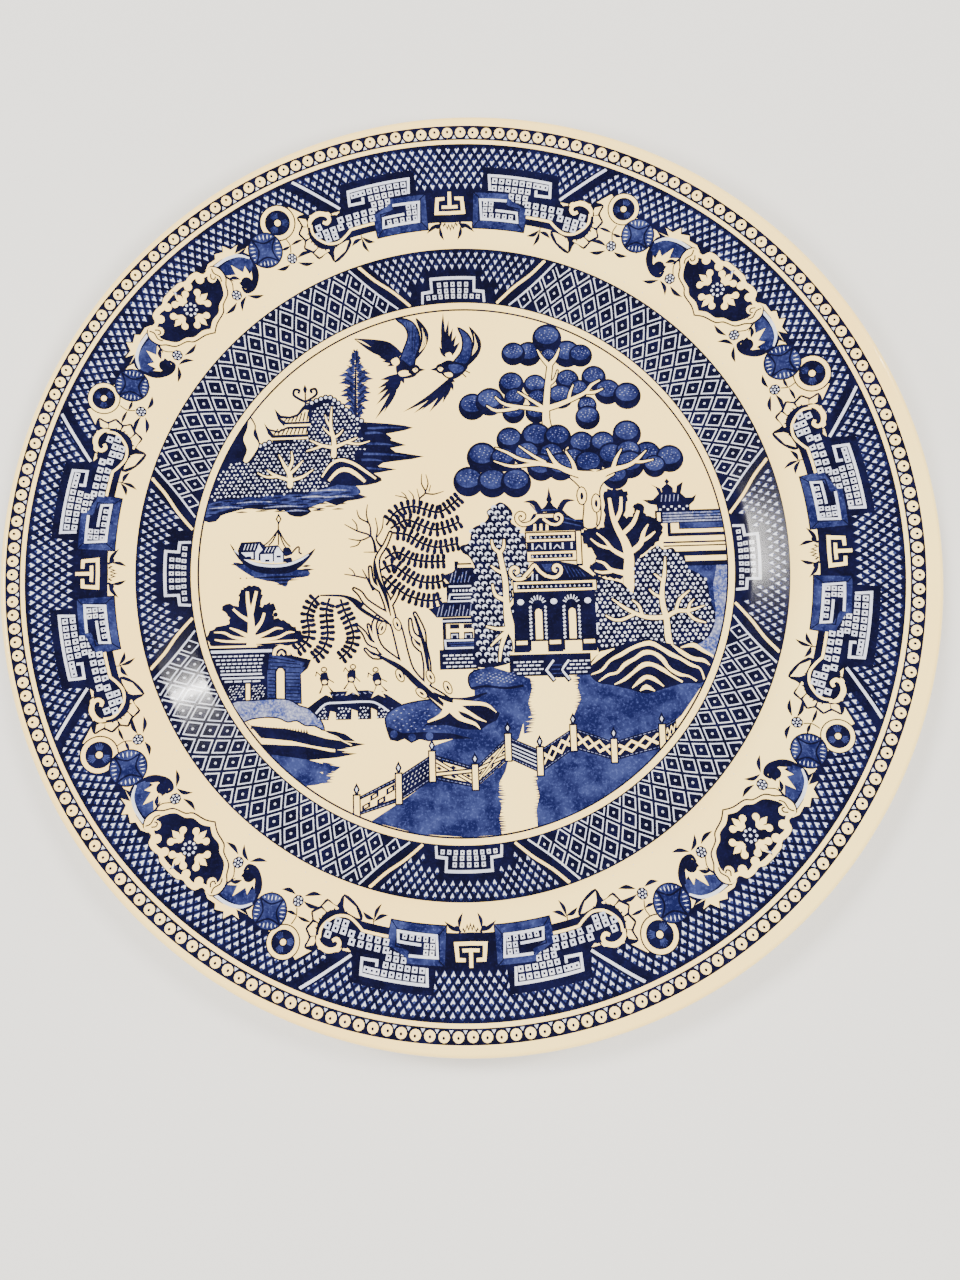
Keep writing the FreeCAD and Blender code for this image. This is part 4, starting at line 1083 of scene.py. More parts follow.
def gate_bank(pen):
    """The bank before the gatehouse: a stippled hump over dark and mid-blue ledges."""
    pen.fill(INK, [(-64.0, -42.0), (-62.4, -44.2), (-57.0, -45.0), (-52.0, -45.4), (-46.0, -46.8),
                   (-40.0, -48.6), (-35.0, -49.4), (-28.8, -50.4), (-33.0, -51.2), (-38.0, -51.6),
                   (-44.0, -50.5), (-50.0, -49.0), (-59.0, -47.9)])
    pen.fill(INK, [(-40.8, -46.2), (-37.4, -46.6), (-34.6, -47.4), (-31.6, -49.6), (-36.0, -49.2)])
    pen.fill(INK, [(-59.4, -49.6), (-54.0, -50.0), (-48.0, -50.4), (-44.0, -51.1), (-39.0, -52.3),
                   (-31.2, -53.0), (-37.0, -54.0), (-45.0, -54.5), (-55.0, -54.6)])
    pen.fill(WASH, [(-56.4, -52.6), (-45.4, -54.4), (-40.6, -55.8), (-36.0, -56.6), (-37.6, -57.8),
                    (-42.0, -58.0), (-38.8, -59.6), (-40.4, -60.8), (-43.0, -61.5), (-49.0, -62.0)])
    ragged(pen, WASH, -39.6, -55.4, -61.2, 2.2, 0.3)
    ragged(pen, INK, -36.0, -49.6, -53.6, 2.6, 0.8)
    for x0, x1, y in ((-62.0, -45.0, -44.9), (-57.6, -47.0, -50.3)):
        for k in range(int((x1 - x0) / 0.8)):
            x = x0 + k * 0.8
            drop = (x - x0) * 0.1
            pen.fill(INK, [(x, y - drop - 0.4), (x + 0.3, y - drop + 0.8), (x + 0.7, y - drop - 0.5)])
    fill_edged(pen, STIPPLE, [(-67.4, -37.8), (-61.0, -37.2), (-55.4, -36.9), (-50.8, -37.3), (-47.8, -39.0),
                              (-45.0, -40.0), (-42.0, -42.6), (-40.6, -46.2), (-43.4, -44.9), (-46.2, -44.7),
                              (-48.6, -43.3), (-51.2, -43.6), (-54.0, -42.4), (-58.0, -42.1), (-61.6, -42.5),
                              (-65.0, -43.0)], 0.4)
    pen.curve(BARE, 0.35, [(-40.6, -46.9), (-37.4, -48.0), (-35.2, -49.4), (-32.8, -50.6)])


def walker(pen, x, y, lean):
    """A tiny stylised walker in a wide robe, with a staff."""
    figure = pen.at(x, y, turn=lean)
    figure.line(INK, 0.3, [(-2.6, 1.4), (-2.2, 2.6), (-0.6, 1.0)])
    figure.line(INK, 0.3, [(0.6, 0.6), (2.6, -0.9)])
    figure.fill(INK, [(-2.1, -3.6), (-0.9, -1.6), (-1.5, 0.6), (-0.9, 2.2), (0.8, 2.3), (1.2, 0.4),
                      (0.8, -1.6), (2.4, -3.6)])
    figure.fill(BARE, [(-1.6, -3.8), (-0.6, -1.5), (0.6, -1.5), (1.8, -3.8), (0.2, -3.1)])
    figure.disc(BARE, -0.1, -0.5, 0.8, 0.6, sides=10)
    figure.disc(INK, 0.0, 3.1, 0.95, 0.85, sides=10)
    figure.disc(BARE, 0.0, 3.1, 0.6, 0.5, sides=8)


def bridge(pen):
    """The arched bridge and the three walkers on it."""
    for x, y, lean in ((-40.3, -32.0, 4), (-32.5, -31.4, -8), (-25.0, -32.4, 10)):
        walker(pen, x, y, lean)
    pen.fill(INK, [(-45.4, -39.7), (-41.6, -37.0), (-38.6, -35.3), (-28.0, -35.1), (-22.6, -36.4),
                   (-18.2, -39.3), (-21.6, -43.2), (-25.4, -43.3), (-25.4, -41.0), (-27.0, -40.2),
                   (-27.0, -43.4), (-30.8, -43.4), (-31.0, -41.0), (-32.6, -40.4), (-32.8, -43.4),
                   (-37.2, -43.4), (-37.3, -41.2), (-38.8, -40.8), (-39.4, -43.4), (-42.4, -43.2),
                   (-43.2, -42.0)])
    hatch(pen, STIPPLE, 0.25, [(-42.0 + 1.6 * k, -36.9 + 0.15 * k, -41.2 + 1.6 * k, -36.1)
                               for k in range(2, 11)])
    pen.curve(MIST, 0.55, [(-43.0, -41.4), (-40.2, -38.8), (-36.0, -38.5), (-27.6, -38.4), (-24.6, -39.4),
                           (-21.6, -41.6)], steps=3)
    for x0, x1 in ((-42.2, -39.8), (-36.9, -33.2), (-30.6, -27.4), (-25.2, -22.6)):
        for x, y in scatter([(x0, -42.9), (x1, -42.9), (x1, -39.6), (x0, -39.6)], 1.05, 0.9):
            pen.fill(MIST, [(x - 0.3, y), (x, y - 0.3), (x + 0.32, y + 0.05), (x, y + 0.3)])
    for x, base, lean in ((-40.3, -35.8, -1), (-32.5, -35.4, 1), (-25.0, -36.2, 1)):
        pen.fill(BARE, [(x - 1.9, base - 1.2), (x - 0.5, base + 1.6), (x + 0.5, base + 1.6),
                        (x + 2.1, base - 1.2), (x + 0.1 * lean, base - 0.2)])


# Willow --------------------------------------------------------------------------------------------


def strand(pen, points):
    """A hanging willow shoot with pairs of rounded leaves."""
    size = 1.14
    route = smooth(points, 12)
    pen.line(INK, 0.6 * size, route[::3] + route[-1:])
    walked = 0.0
    for a, b in zip(route, route[1:]):
        walked += math.dist(a, b)
        if walked < 1.3 * size:
            continue
        walked = 0.0
        dx, dy = unit(a, b) or (1.0, 0.0)
        for side in (-1, 1):
            x, y = b[0] - side * dy * 1.45 * size + dx * 0.35, b[1] + side * dx * 1.45 * size + dy * 0.35
            middle = ((b[0] + x) / 2 + dx * 0.15, (b[1] + y) / 2 + dy * 0.15, 0.95 * size)
            pen.brush(INK, [(b[0], b[1], 0.5), middle, (x, y, 1.0 * size)], 2)
            pen.disc(INK, x, y, 0.54 * size, sides=8)


def willow_twigs(pen):
    """The willow's bare dark twigs."""
    twigs = (
        [(-24.8, 4.6, 1.0), (-26.0, 9.4, 0.6), (-30.2, 11.2, 0.5), (-33.9, 13.3, 0.25)],
        [(-30.2, 11.3, 0.45), (-30.4, 13.2, 0.4), (-31.7, 14.8, 0.25)],
        [(-26.2, 9.8, 0.6), (-26.6, 13.2, 0.5), (-29.4, 15.0, 0.45), (-30.2, 17.5, 0.25)],
        [(-26.8, 13.4, 0.5), (-27.4, 16.2, 0.4), (-27.0, 19.0, 0.25)],
        [(-26.2, 9.6, 0.5), (-29.2, 8.4, 0.45), (-32.8, 9.0, 0.25)],
        [(-29.2, 8.4, 0.4), (-30.2, 7.0, 0.4), (-32.4, 6.5, 0.25)],
        [(-24.8, 4.8, 0.4), (-28.4, 4.9, 0.2)],
        [(-25.6, -6.4, 1.0), (-27.4, -3.0, 0.6), (-28.9, -0.1, 0.25)],
        [(-27.8, -2.8, 0.5), (-31.0, -2.0, 0.45), (-34.2, -1.4, 0.25)],
        [(-31.0, -2.0, 0.4), (-31.6, -0.6, 0.35), (-32.8, 0.4, 0.25)],
        [(-22.8, 6.0, 0.9), (-24.6, 8.4, 0.5), (-24.2, 11.6, 0.4), (-24.8, 15.0, 0.25)],
        [(-24.4, 9.2, 0.4), (-22.8, 11.8, 0.4), (-22.4, 15.2, 0.25)],
        [(-15.6, 18.6, 0.4), (-15.3, 20.4, 0.4), (-18.8, 21.4, 0.25)],
        [(-15.4, 20.2, 0.4), (-15.8, 21.4, 0.35), (-17.0, 22.4, 0.2)],
        [(-13.6, 19.0, 0.3), (-13.4, 21.0, 0.35), (-14.8, 22.8, 0.2)],
        [(-11.8, 18.0, 0.5), (-11.6, 20.2, 0.5), (-9.8, 22.0, 0.5), (-10.9, 24.6, 0.4), (-10.8, 27.6, 0.2)],
        [(-11.6, 20.0, 0.4), (-12.3, 23.2, 0.2)],
        [(-9.9, 22.0, 0.4), (-9.0, 24.6, 0.4), (-9.6, 27.4, 0.2)],
        [(-10.0, 21.8, 0.5), (-7.4, 21.4, 0.45), (-4.4, 22.2, 0.2)],
        [(-8.8, 22.2, 0.4), (-8.2, 24.2, 0.2)],
    )
    for twig in twigs:
        pen.brush(INK, twig, 3)


def willow_shoots(pen):
    """The willow's hanging shoots, and the dark bough that three of them hang from."""
    pen.brush(INK, [(-29.0, -11.0, 1.4), (-31.2, -9.4, 1.6), (-34.2, -7.9, 0.8), (-38.0, -7.5, 0.6),
                    (-41.4, -7.4, 0.4)], 4)
    for points in (
        [(-21.6, 12.6), (-18.6, 16.5), (-14.0, 18.0), (-10.0, 17.0), (-6.2, 16.0), (-3.0, 17.6), (0.2, 20.2)],
        [(-20.4, 11.6), (-15.6, 14.0), (-11.6, 12.4), (-7.6, 10.9), (-3.6, 11.6), (-0.3, 12.9)],
        [(-20.2, 10.4), (-15.4, 9.6), (-11.2, 7.0), (-7.0, 5.7), (-3.2, 6.2), (-0.5, 6.6)],
        [(-22.2, 2.8), (-18.6, 4.6), (-14.6, 2.5), (-10.0, 1.6), (-7.0, 1.5), (-4.5, 1.5)],
        [(-23.6, -0.6), (-20.0, 0.8), (-16.6, -1.6), (-12.6, -4.0), (-8.6, -4.6), (-5.5, -4.2)],
        [(-23.0, -2.2), (-19.6, -5.4), (-16.0, -8.0), (-12.0, -9.5), (-8.4, -9.9), (-5.9, -9.2)],
        [(-41.6, -7.4), (-43.8, -9.6), (-45.2, -13.3), (-44.7, -17.6), (-45.4, -20.6), (-48.0, -22.8)],
        [(-38.6, -8.2), (-39.6, -12.0), (-39.4, -16.0), (-39.4, -20.0), (-41.2, -23.6), (-43.6, -25.6)],
        [(-35.4, -8.6), (-34.4, -12.0), (-32.6, -16.0), (-31.8, -20.0), (-33.2, -23.6), (-36.0, -26.0)],
    ):
        strand(pen, points)


def willow_trunk(pen):
    """The willow's pale trunk and boughs, the dark strokes of its bark and its knots."""
    branches(pen, [
        [(-3.4, -41.4, 3.6), (-7.2, -38.2, 3.2), (-11.6, -34.6, 2.0), (-15.6, -30.2, 2.2),
         (-17.4, -25.0, 2.4), (-18.6, -19.6, 2.4), (-20.0, -15.6, 2.2), (-24.4, -12.4, 1.5),
         (-28.0, -9.6, 1.1), (-29.6, -7.2, 0.9), (-31.4, -5.8, 0.3)],
        [(-20.4, -15.4, 2.0), (-21.6, -10.2, 1.8), (-23.6, -5.0, 1.5), (-24.6, 0.0, 1.2), (-24.2, 3.4, 0.8),
         (-22.0, 6.8, 0.7), (-20.4, 10.4, 0.4)],
        [(-10.6, -33.6, 1.6), (-10.6, -28.0, 1.5), (-11.6, -22.6, 1.4), (-11.8, -18.6, 1.2),
         (-13.8, -13.4, 0.3)],
        [(-12.0, -21.6, 1.2), (-14.6, -19.4, 0.9), (-15.2, -15.2, 0.3)],
        [(-12.0, -24.0, 0.9), (-13.8, -22.4, 0.7), (-14.6, -20.6, 0.3)],
        [(-16.8, -29.0, 1.8), (-21.4, -25.8, 1.6), (-24.6, -22.4, 1.3), (-25.8, -17.0, 0.9),
         (-24.6, -14.0, 0.6)],
        [(-24.4, -22.6, 1.1), (-27.2, -21.4, 0.9), (-28.6, -18.8, 0.6), (-30.4, -16.8, 0.2)],
        [(-25.8, -20.6, 0.7), (-26.8, -18.4, 0.5), (-27.4, -16.4, 0.2)],
        [(-22.4, -25.4, 0.9), (-26.0, -25.6, 0.6), (-28.4, -23.4, 0.2)],
        [(-21.4, -11.4, 1.0), (-19.4, -8.4, 0.8), (-18.6, -6.4, 0.3)],
        [(-23.4, -6.4, 0.9), (-26.0, -4.2, 0.7), (-26.6, 0.4, 0.3)],
    ], 0.55)
    for route in ([(-27.0, -24.0, 0.3), (-21.8, -26.9, 1.2), (-17.8, -29.4, 1.6), (-13.4, -33.6, 1.8),
                   (-8.8, -37.6, 1.5), (-5.4, -40.6, 0.7)],
                  [(-9.0, -36.4, 0.6), (-4.6, -38.4, 1.4), (0.4, -38.6, 1.4), (6.4, -36.8, 0.4)],
                  [(-13.6, -14.2, 0.3), (-12.4, -18.6, 0.9), (-11.0, -24.0, 1.1), (-10.2, -30.0, 0.8),
                   (-9.4, -34.0, 0.3)],
                  [(-20.8, -14.0, 0.3), (-22.2, -8.0, 1.1), (-24.4, -2.6, 1.0), (-25.2, 2.6, 0.3)],
                  [(-33.4, -7.8, 0.3), (-29.6, -11.6, 1.1), (-25.0, -14.6, 0.9), (-20.6, -16.6, 0.4)]):
        pen.brush(INK, route, 4)
    for x, y, turn in ((-18.5, -31.2, 25), (-9.7, -31.8, 25), (-4.8, -35.0, 25), (-12.4, -36.4, 50),
                       (-19.0, -16.4, 20), (-23.4, -17.4, -20)):
        knot(pen, x, y, 0.9, 1.8, turn)


def willow_roots(pen):
    """The willow's pale roots on their dark ground."""
    pen.fill(INK, [(-12.0, -45.6), (-8.4, -43.6), (-5.2, -41.4), (-2.4, -40.0), (4.0, -38.8), (10.0, -42.6),
                   (9.0, -44.6), (6.4, -45.8), (4.4, -47.2), (0.0, -47.0), (-5.4, -45.6)])
    for root in ([(-4.4, -39.6, 3.4), (-6.4, -42.6, 1.5), (-10.8, -44.6, 0.4)],
                 [(-4.0, -40.6, 2.8), (-1.6, -43.6, 1.5), (2.6, -45.4, 0.9), (4.2, -47.0, 0.2)],
                 [(-3.0, -40.2, 2.2), (0.6, -42.0, 1.1), (3.4, -43.8, 0.8), (6.0, -45.0, 0.2)],
                 [(-3.4, -39.4, 2.0), (1.8, -39.6, 1.2), (6.2, -40.2, 0.9), (9.0, -42.4, 0.2)]):
        pen.brush(BARE, root, 4)


def willow(pen):
    """The willow that leans over the bridge."""
    willow_twigs(pen)
    willow_shoots(pen)
    willow_trunk(pen)
    willow_roots(pen)


def bank(pen):
    """The dark banks under the willow and by the house."""
    crest = [(-21.8, -48.8), (-23.0, -43.4), (-20.2, -40.4), (-15.0, -38.9), (-9.4, -38.2)]
    pen.fill(WASH, smooth(crest, 3) + [(-4.0, -38.6), (6.0, -37.0), (4.0, -49.0), (-12.0, -49.6)])
    pen.curve(INK, 0.45, crest)
    pen.fill(INK, [(-22.4, -45.6), (-21.8, -49.4), (-19.6, -49.9), (-17.6, -49.2), (-15.6, -50.5),
                   (-13.2, -49.4), (-10.8, -50.1), (-4.0, -49.6), (2.0, -49.6), (-4.0, -48.0), (-12.0, -47.4),
                   (-18.0, -47.6)])
    for x, y in ((-20.6, -47.8), (-15.4, -48.8), (-10.4, -48.6)):
        pen.disc(WASH, x, y, 1.1, 1.1, sides=10)
    near = [(4.4, -35.4), (2.2, -35.6), (1.2, -33.4), (1.8, -31.2), (4.6, -29.9)]
    pen.fill(WASH, smooth(near, 3) + [(8.0, -29.4), (14.0, -31.4), (18.0, -33.8), (12.0, -35.4)])
    pen.curve(INK, 0.45, near)
    pen.curve(INK, 0.7, [(2.0, -35.4), (6.4, -34.9), (12.0, -35.6), (17.0, -35.0)])
    for k in range(46):
        u, v = spread(k)
        pen.disc(STIPPLE, -21.0 + 16.0 * u, -40.4 - 6.4 * v, 0.32, 0.14, sides=5)
        pen.disc(STIPPLE, 3.0 + 12.0 * u, -30.9 - 3.2 * v, 0.3, 0.14, sides=5)


# Left side -----------------------------------------------------------------------------------------


def fir(pen):
    """The island's fir, bough by bough from its top."""
    for k in range(30):
        y = 65.4 - k * 0.7
        bough = between([(0, 1.0), (6, 2.8), (11, 6.0), (15, 4.4), (19, 4.9), (24, 3.2), (30, 1.8)], k)
        for side in (-1, 1):
            reach = bough * (0.72 + 0.28 * math.sin(k * 2.1 + side))
            tip, drop = -29.9 + side * reach, 0.9 + 0.5 * math.sin(k * 1.3 + side)
            pen.leaf(WASH, -29.8, y + 0.4, tip, y + 0.4 - drop, 1.3)
            pen.leaf(INK, -29.9 + side * reach * 0.15, y - 0.1, -29.9 + side * reach * 0.8, y + 0.9, 0.42)
    pen.brush(INK, [(-29.4, 66.0, 0.2), (-29.9, 58.0, 0.5), (-30.1, 45.0, 0.9)], 3)


def island_ground(pen):
    """The island's dark mass, its shore and the streaks along the shore."""
    mass = [(-75.6, 15.6), (-74.6, 21.0), (-72.0, 28.0), (-68.4, 35.4), (-64.8, 41.6), (-61.6, 46.8),
            (-60.2, 43.4), (-59.2, 40.0), (-58.2, 37.6), (-55.0, 38.6), (-54.6, 40.2), (-44.6, 40.4),
            (-45.4, 45.0), (-44.6, 49.2), (-41.2, 50.6), (-38.0, 51.2), (-35.2, 50.0), (-33.0, 48.2),
            (-31.0, 46.2), (-28.8, 44.2), (-25.6, 43.6), (-19.8, 43.0), (-13.0, 41.6), (-19.6, 40.2),
            (-24.0, 39.4), (-15.2, 36.4), (-22.6, 35.2), (-10.0, 32.8), (-19.4, 31.6), (-26.0, 30.6),
            (-18.2, 29.2), (-28.4, 27.8), (-32.8, 26.2), (-28.0, 25.0), (-33.4, 23.8), (-27.0, 21.2),
            (-33.0, 20.2), (-36.2, 18.9), (-40.0, 20.4), (-45.0, 19.4), (-43.6, 17.4), (-46.8, 15.9),
            (-50.2, 16.6), (-52.2, 18.4), (-57.0, 18.2), (-62.4, 18.9), (-67.2, 18.0), (-70.6, 17.0),
            (-72.0, 15.4)]
    pen.blob(INK, mass, 2)
    shore = [(-75.4, 16.6), (-70.6, 18.2), (-62.0, 20.0), (-54.0, 19.6), (-45.0, 18.6), (-37.0, 21.0),
             (-29.0, 22.4), (-33.0, 25.6), (-44.0, 23.0), (-56.0, 22.6), (-66.0, 22.0), (-74.4, 20.4)]
    pen.blob(WASH, shore)
    for k in range(60):
        u, v = spread(k)
        x, y = -73.0 + 40.0 * u, 17.4 + 5.6 * v
        pen.brush(INK, [(x - 1.8, y, 0.05), (x, y + 0.1, 0.5), (x + 1.8, y, 0.05)], 2)
    for x0, x1, y in ((-74.0, -64.0, 19.2), (-66.0, -54.0, 20.6), (-58.0, -46.0, 19.0), (-48.0, -38.0, 21.6),
                      (-44.0, -32.0, 23.4), (-52.0, -44.6, 17.6), (-40.0, -31.0, 21.4)):
        pen.brush(STIPPLE, [(x0, y, 0.1), ((x0 + x1) / 2, y + 0.3, 0.5), (x1, y, 0.1)], 3)


def island_leaves(pen):
    """Pale dots over the island's foliage, and the round leaves along its top."""
    leafy = [(-73.6, 21.6), (-70.4, 30.0), (-66.6, 33.4), (-62.0, 33.0), (-57.6, 37.4), (-46.0, 39.6),
             (-45.0, 47.6), (-38.0, 50.6), (-33.6, 47.6), (-28.6, 43.6), (-24.6, 42.6), (-27.0, 39.0),
             (-27.0, 33.0), (-33.0, 28.4), (-40.0, 23.8), (-56.0, 22.4)]
    for x, y in scatter(leafy, 1.26, 1.08):
        pen.disc(MIST, x, y, 0.33, sides=6)
    for x, y in ((-44.6, 49.4), (-43.2, 50.2), (-41.8, 50.8), (-40.4, 51.3), (-39.0, 51.7), (-37.6, 51.6),
                 (-36.4, 50.8), (-35.2, 49.8), (-34.0, 48.8), (-32.9, 47.7), (-31.9, 46.6), (-30.8, 45.6),
                 (-29.6, 44.8), (-28.4, 44.2), (-60.4, 36.6), (-58.8, 37.6), (-57.4, 38.0), (-56.0, 38.6)):
        pen.disc(INK, x, y, 0.95, sides=10)
        pen.disc(MIST, x, y, 0.5, sides=8)


def island_rocks(pen):
    """The ledges on the island's right, the pale rock on its left and the striped hill."""
    pen.fill(INK, [(-29.6, 43.6), (-24.0, 43.3), (-19.6, 42.2), (-21.4, 40.4), (-19.4, 38.6), (-21.0, 36.6),
                   (-18.4, 34.4), (-20.4, 32.4), (-23.6, 30.4), (-22.6, 29.0), (-27.0, 27.6), (-28.2, 30.0),
                   (-25.6, 33.4), (-25.6, 38.6), (-27.0, 41.4)])
    for x0, y0, x1, y1 in ((-26.6, 41.8, -15.2, 41.6), (-27.4, 40.4, -21.0, 40.2), (-27.0, 37.2, -17.4, 36.4),
                           (-28.0, 34.2, -14.0, 33.0), (-28.6, 32.4, -21.0, 31.8), (-32.0, 29.8, -20.4, 29.3),
                           (-36.0, 27.2, -29.6, 27.4)):
        pen.brush(INK, [(x0 - 2, y0, 2.8), ((x0 + x1) / 2, (y0 + y1) / 2, 2.2), (x1, y1, 0.1)], 3)
        pen.brush(WASH, [(x0, y0, 0.7), ((x0 + x1) / 2, (y0 + y1) / 2 + 0.2, 0.6), (x1 - 1, y1, 0.1)], 3)
    rock = [(-62.0, 46.6), (-60.2, 43.8), (-60.6, 41.2), (-59.0, 38.2), (-60.4, 35.2), (-62.6, 32.6),
            (-64.0, 33.4), (-62.9, 36.6), (-64.0, 39.8), (-62.8, 43.0)]
    fill_edged(pen, BARE, rock, 0.4)
    pen.blob(INK, [(-41.0, 26.6), (-37.6, 31.6), (-34.4, 33.6), (-29.6, 32.0), (-25.8, 28.8), (-22.6, 26.0),
                   (-30.0, 24.6)], 3)
    for hill, broad in (([(-40.4, 27.6), (-38.0, 31.0), (-35.0, 32.6), (-31.0, 31.4), (-27.0, 28.6),
                          (-24.4, 26.6)], 0.9),
                        ([(-38.4, 26.4), (-35.6, 29.2), (-32.8, 29.6), (-30.0, 28.0), (-27.6, 25.8)], 1.3)):
        pen.brush(BARE, [(x, y, broad * (0.4 + 0.6 * math.sin(math.pi * (k + 0.4) / len(hill))))
                         for k, (x, y) in enumerate(hill)], 3)


def island_trees(pen):
    """The island's two bare pale trees."""
    branches(pen, [
        [(-36.8, 34.0, 1.6), (-36.7, 38.6, 1.2), (-37.6, 43.0, 0.9), (-37.2, 48.8, 0.3)],
        [(-37.4, 42.4, 0.7), (-38.6, 44.2, 0.6), (-39.2, 46.4, 0.3)],
        [(-37.0, 40.0, 0.8), (-38.6, 41.2, 0.6), (-40.0, 42.8, 0.3)],
        [(-36.8, 39.4, 0.8), (-35.2, 40.2, 0.6), (-33.9, 41.8, 0.3)],
        [(-36.9, 36.4, 1.0), (-40.4, 37.2, 0.8), (-43.9, 38.9, 0.3)],
        [(-40.2, 37.0, 0.7), (-42.6, 36.2, 0.6), (-45.0, 35.6, 0.3)],
        [(-36.8, 36.4, 1.0), (-32.6, 38.0, 0.8), (-29.6, 39.2, 0.3)],
        [(-32.8, 37.8, 0.7), (-29.4, 37.2, 0.6), (-26.0, 38.0, 0.3)],
        [(-49.9, 25.4, 1.7), (-50.0, 28.6, 1.3), (-51.6, 31.6, 0.9), (-53.2, 34.8, 0.3)],
        [(-50.4, 30.0, 0.9), (-49.2, 32.6, 0.8), (-49.4, 35.7, 0.3)],
        [(-49.8, 29.0, 0.9), (-48.0, 30.6, 0.8), (-46.0, 32.8, 0.3)],
        [(-50.6, 27.2, 1.0), (-54.4, 28.6, 0.8), (-56.8, 30.3, 0.3)],
        [(-54.0, 28.2, 0.7), (-57.0, 28.2, 0.6), (-59.6, 29.5, 0.3)],
        [(-49.4, 27.0, 1.0), (-46.0, 28.0, 0.8), (-43.0, 30.0, 0.3)],
    ], 0.3)


def island(pen):
    """The far island with its fir, pavilion and two pale trees."""
    fir(pen)
    island_ground(pen)
    island_leaves(pen)
    island_rocks(pen)
    pavilion(pen)
    island_trees(pen)


def pavilion(pen):
    """The island's two-roofed pavilion."""
    pen.fill(INK, [(-57.6, 44.6), (-56.2, 42.8), (-53.4, 42.0), (-50.6, 43.2), (-44.2, 43.2), (-44.2, 39.4),
                   (-54.8, 39.4), (-56.4, 41.2)])
    pen.fill(BARE, [(-55.6, 42.0), (-53.4, 41.4), (-50.6, 42.5), (-44.6, 42.5), (-44.6, 40.8), (-54.6, 40.8)])
    hatch(pen, INK, 0.42, [(-54.6 + 1.2 * k, 40.9, -53.4 + 1.1 * k, 42.6) for k in range(9)])
    pen.box(BARE, -55.2, 39.3, -44.4, 39.9)
    pen.fill(INK, [(-54.4, 48.8), (-52.5, 46.7), (-49.8, 46.3), (-47.6, 47.0), (-45.9, 49.3), (-44.4, 49.8),
                   (-43.0, 48.8), (-43.4, 43.3), (-51.6, 43.3), (-53.4, 45.4)])
    pen.fill(BARE, [(-52.6, 45.8), (-49.8, 45.6), (-47.4, 46.2), (-45.4, 48.2), (-44.2, 48.0), (-44.2, 44.6),
                    (-51.0, 44.6)])
    hatch(pen, INK, 0.42, [(-51.6 + 1.15 * k, 44.7, -50.2 + 1.0 * k, 46.2 + 0.25 * k) for k in range(7)])
    pen.box(BARE, -51.4, 43.3, -43.6, 43.9)
    pen.line(INK, 0.45, [(-45.1, 49.4), (-45.1, 53.0)])
    pen.fill(INK, [(-45.2, 55.9), (-44.5, 54.4), (-45.1, 52.6), (-45.8, 54.4)])
    for side, x in ((-1, -46.9), (1, -43.4)):
        pen.curve(INK, 0.75, [(-45.1, 50.6), (x - side * 0.2, 51.4), (x + side * 1.7, 52.8),
                              (x + side * 1.4, 54.4), (x, 54.2), (x + side * 0.3, 53.2)], steps=3)


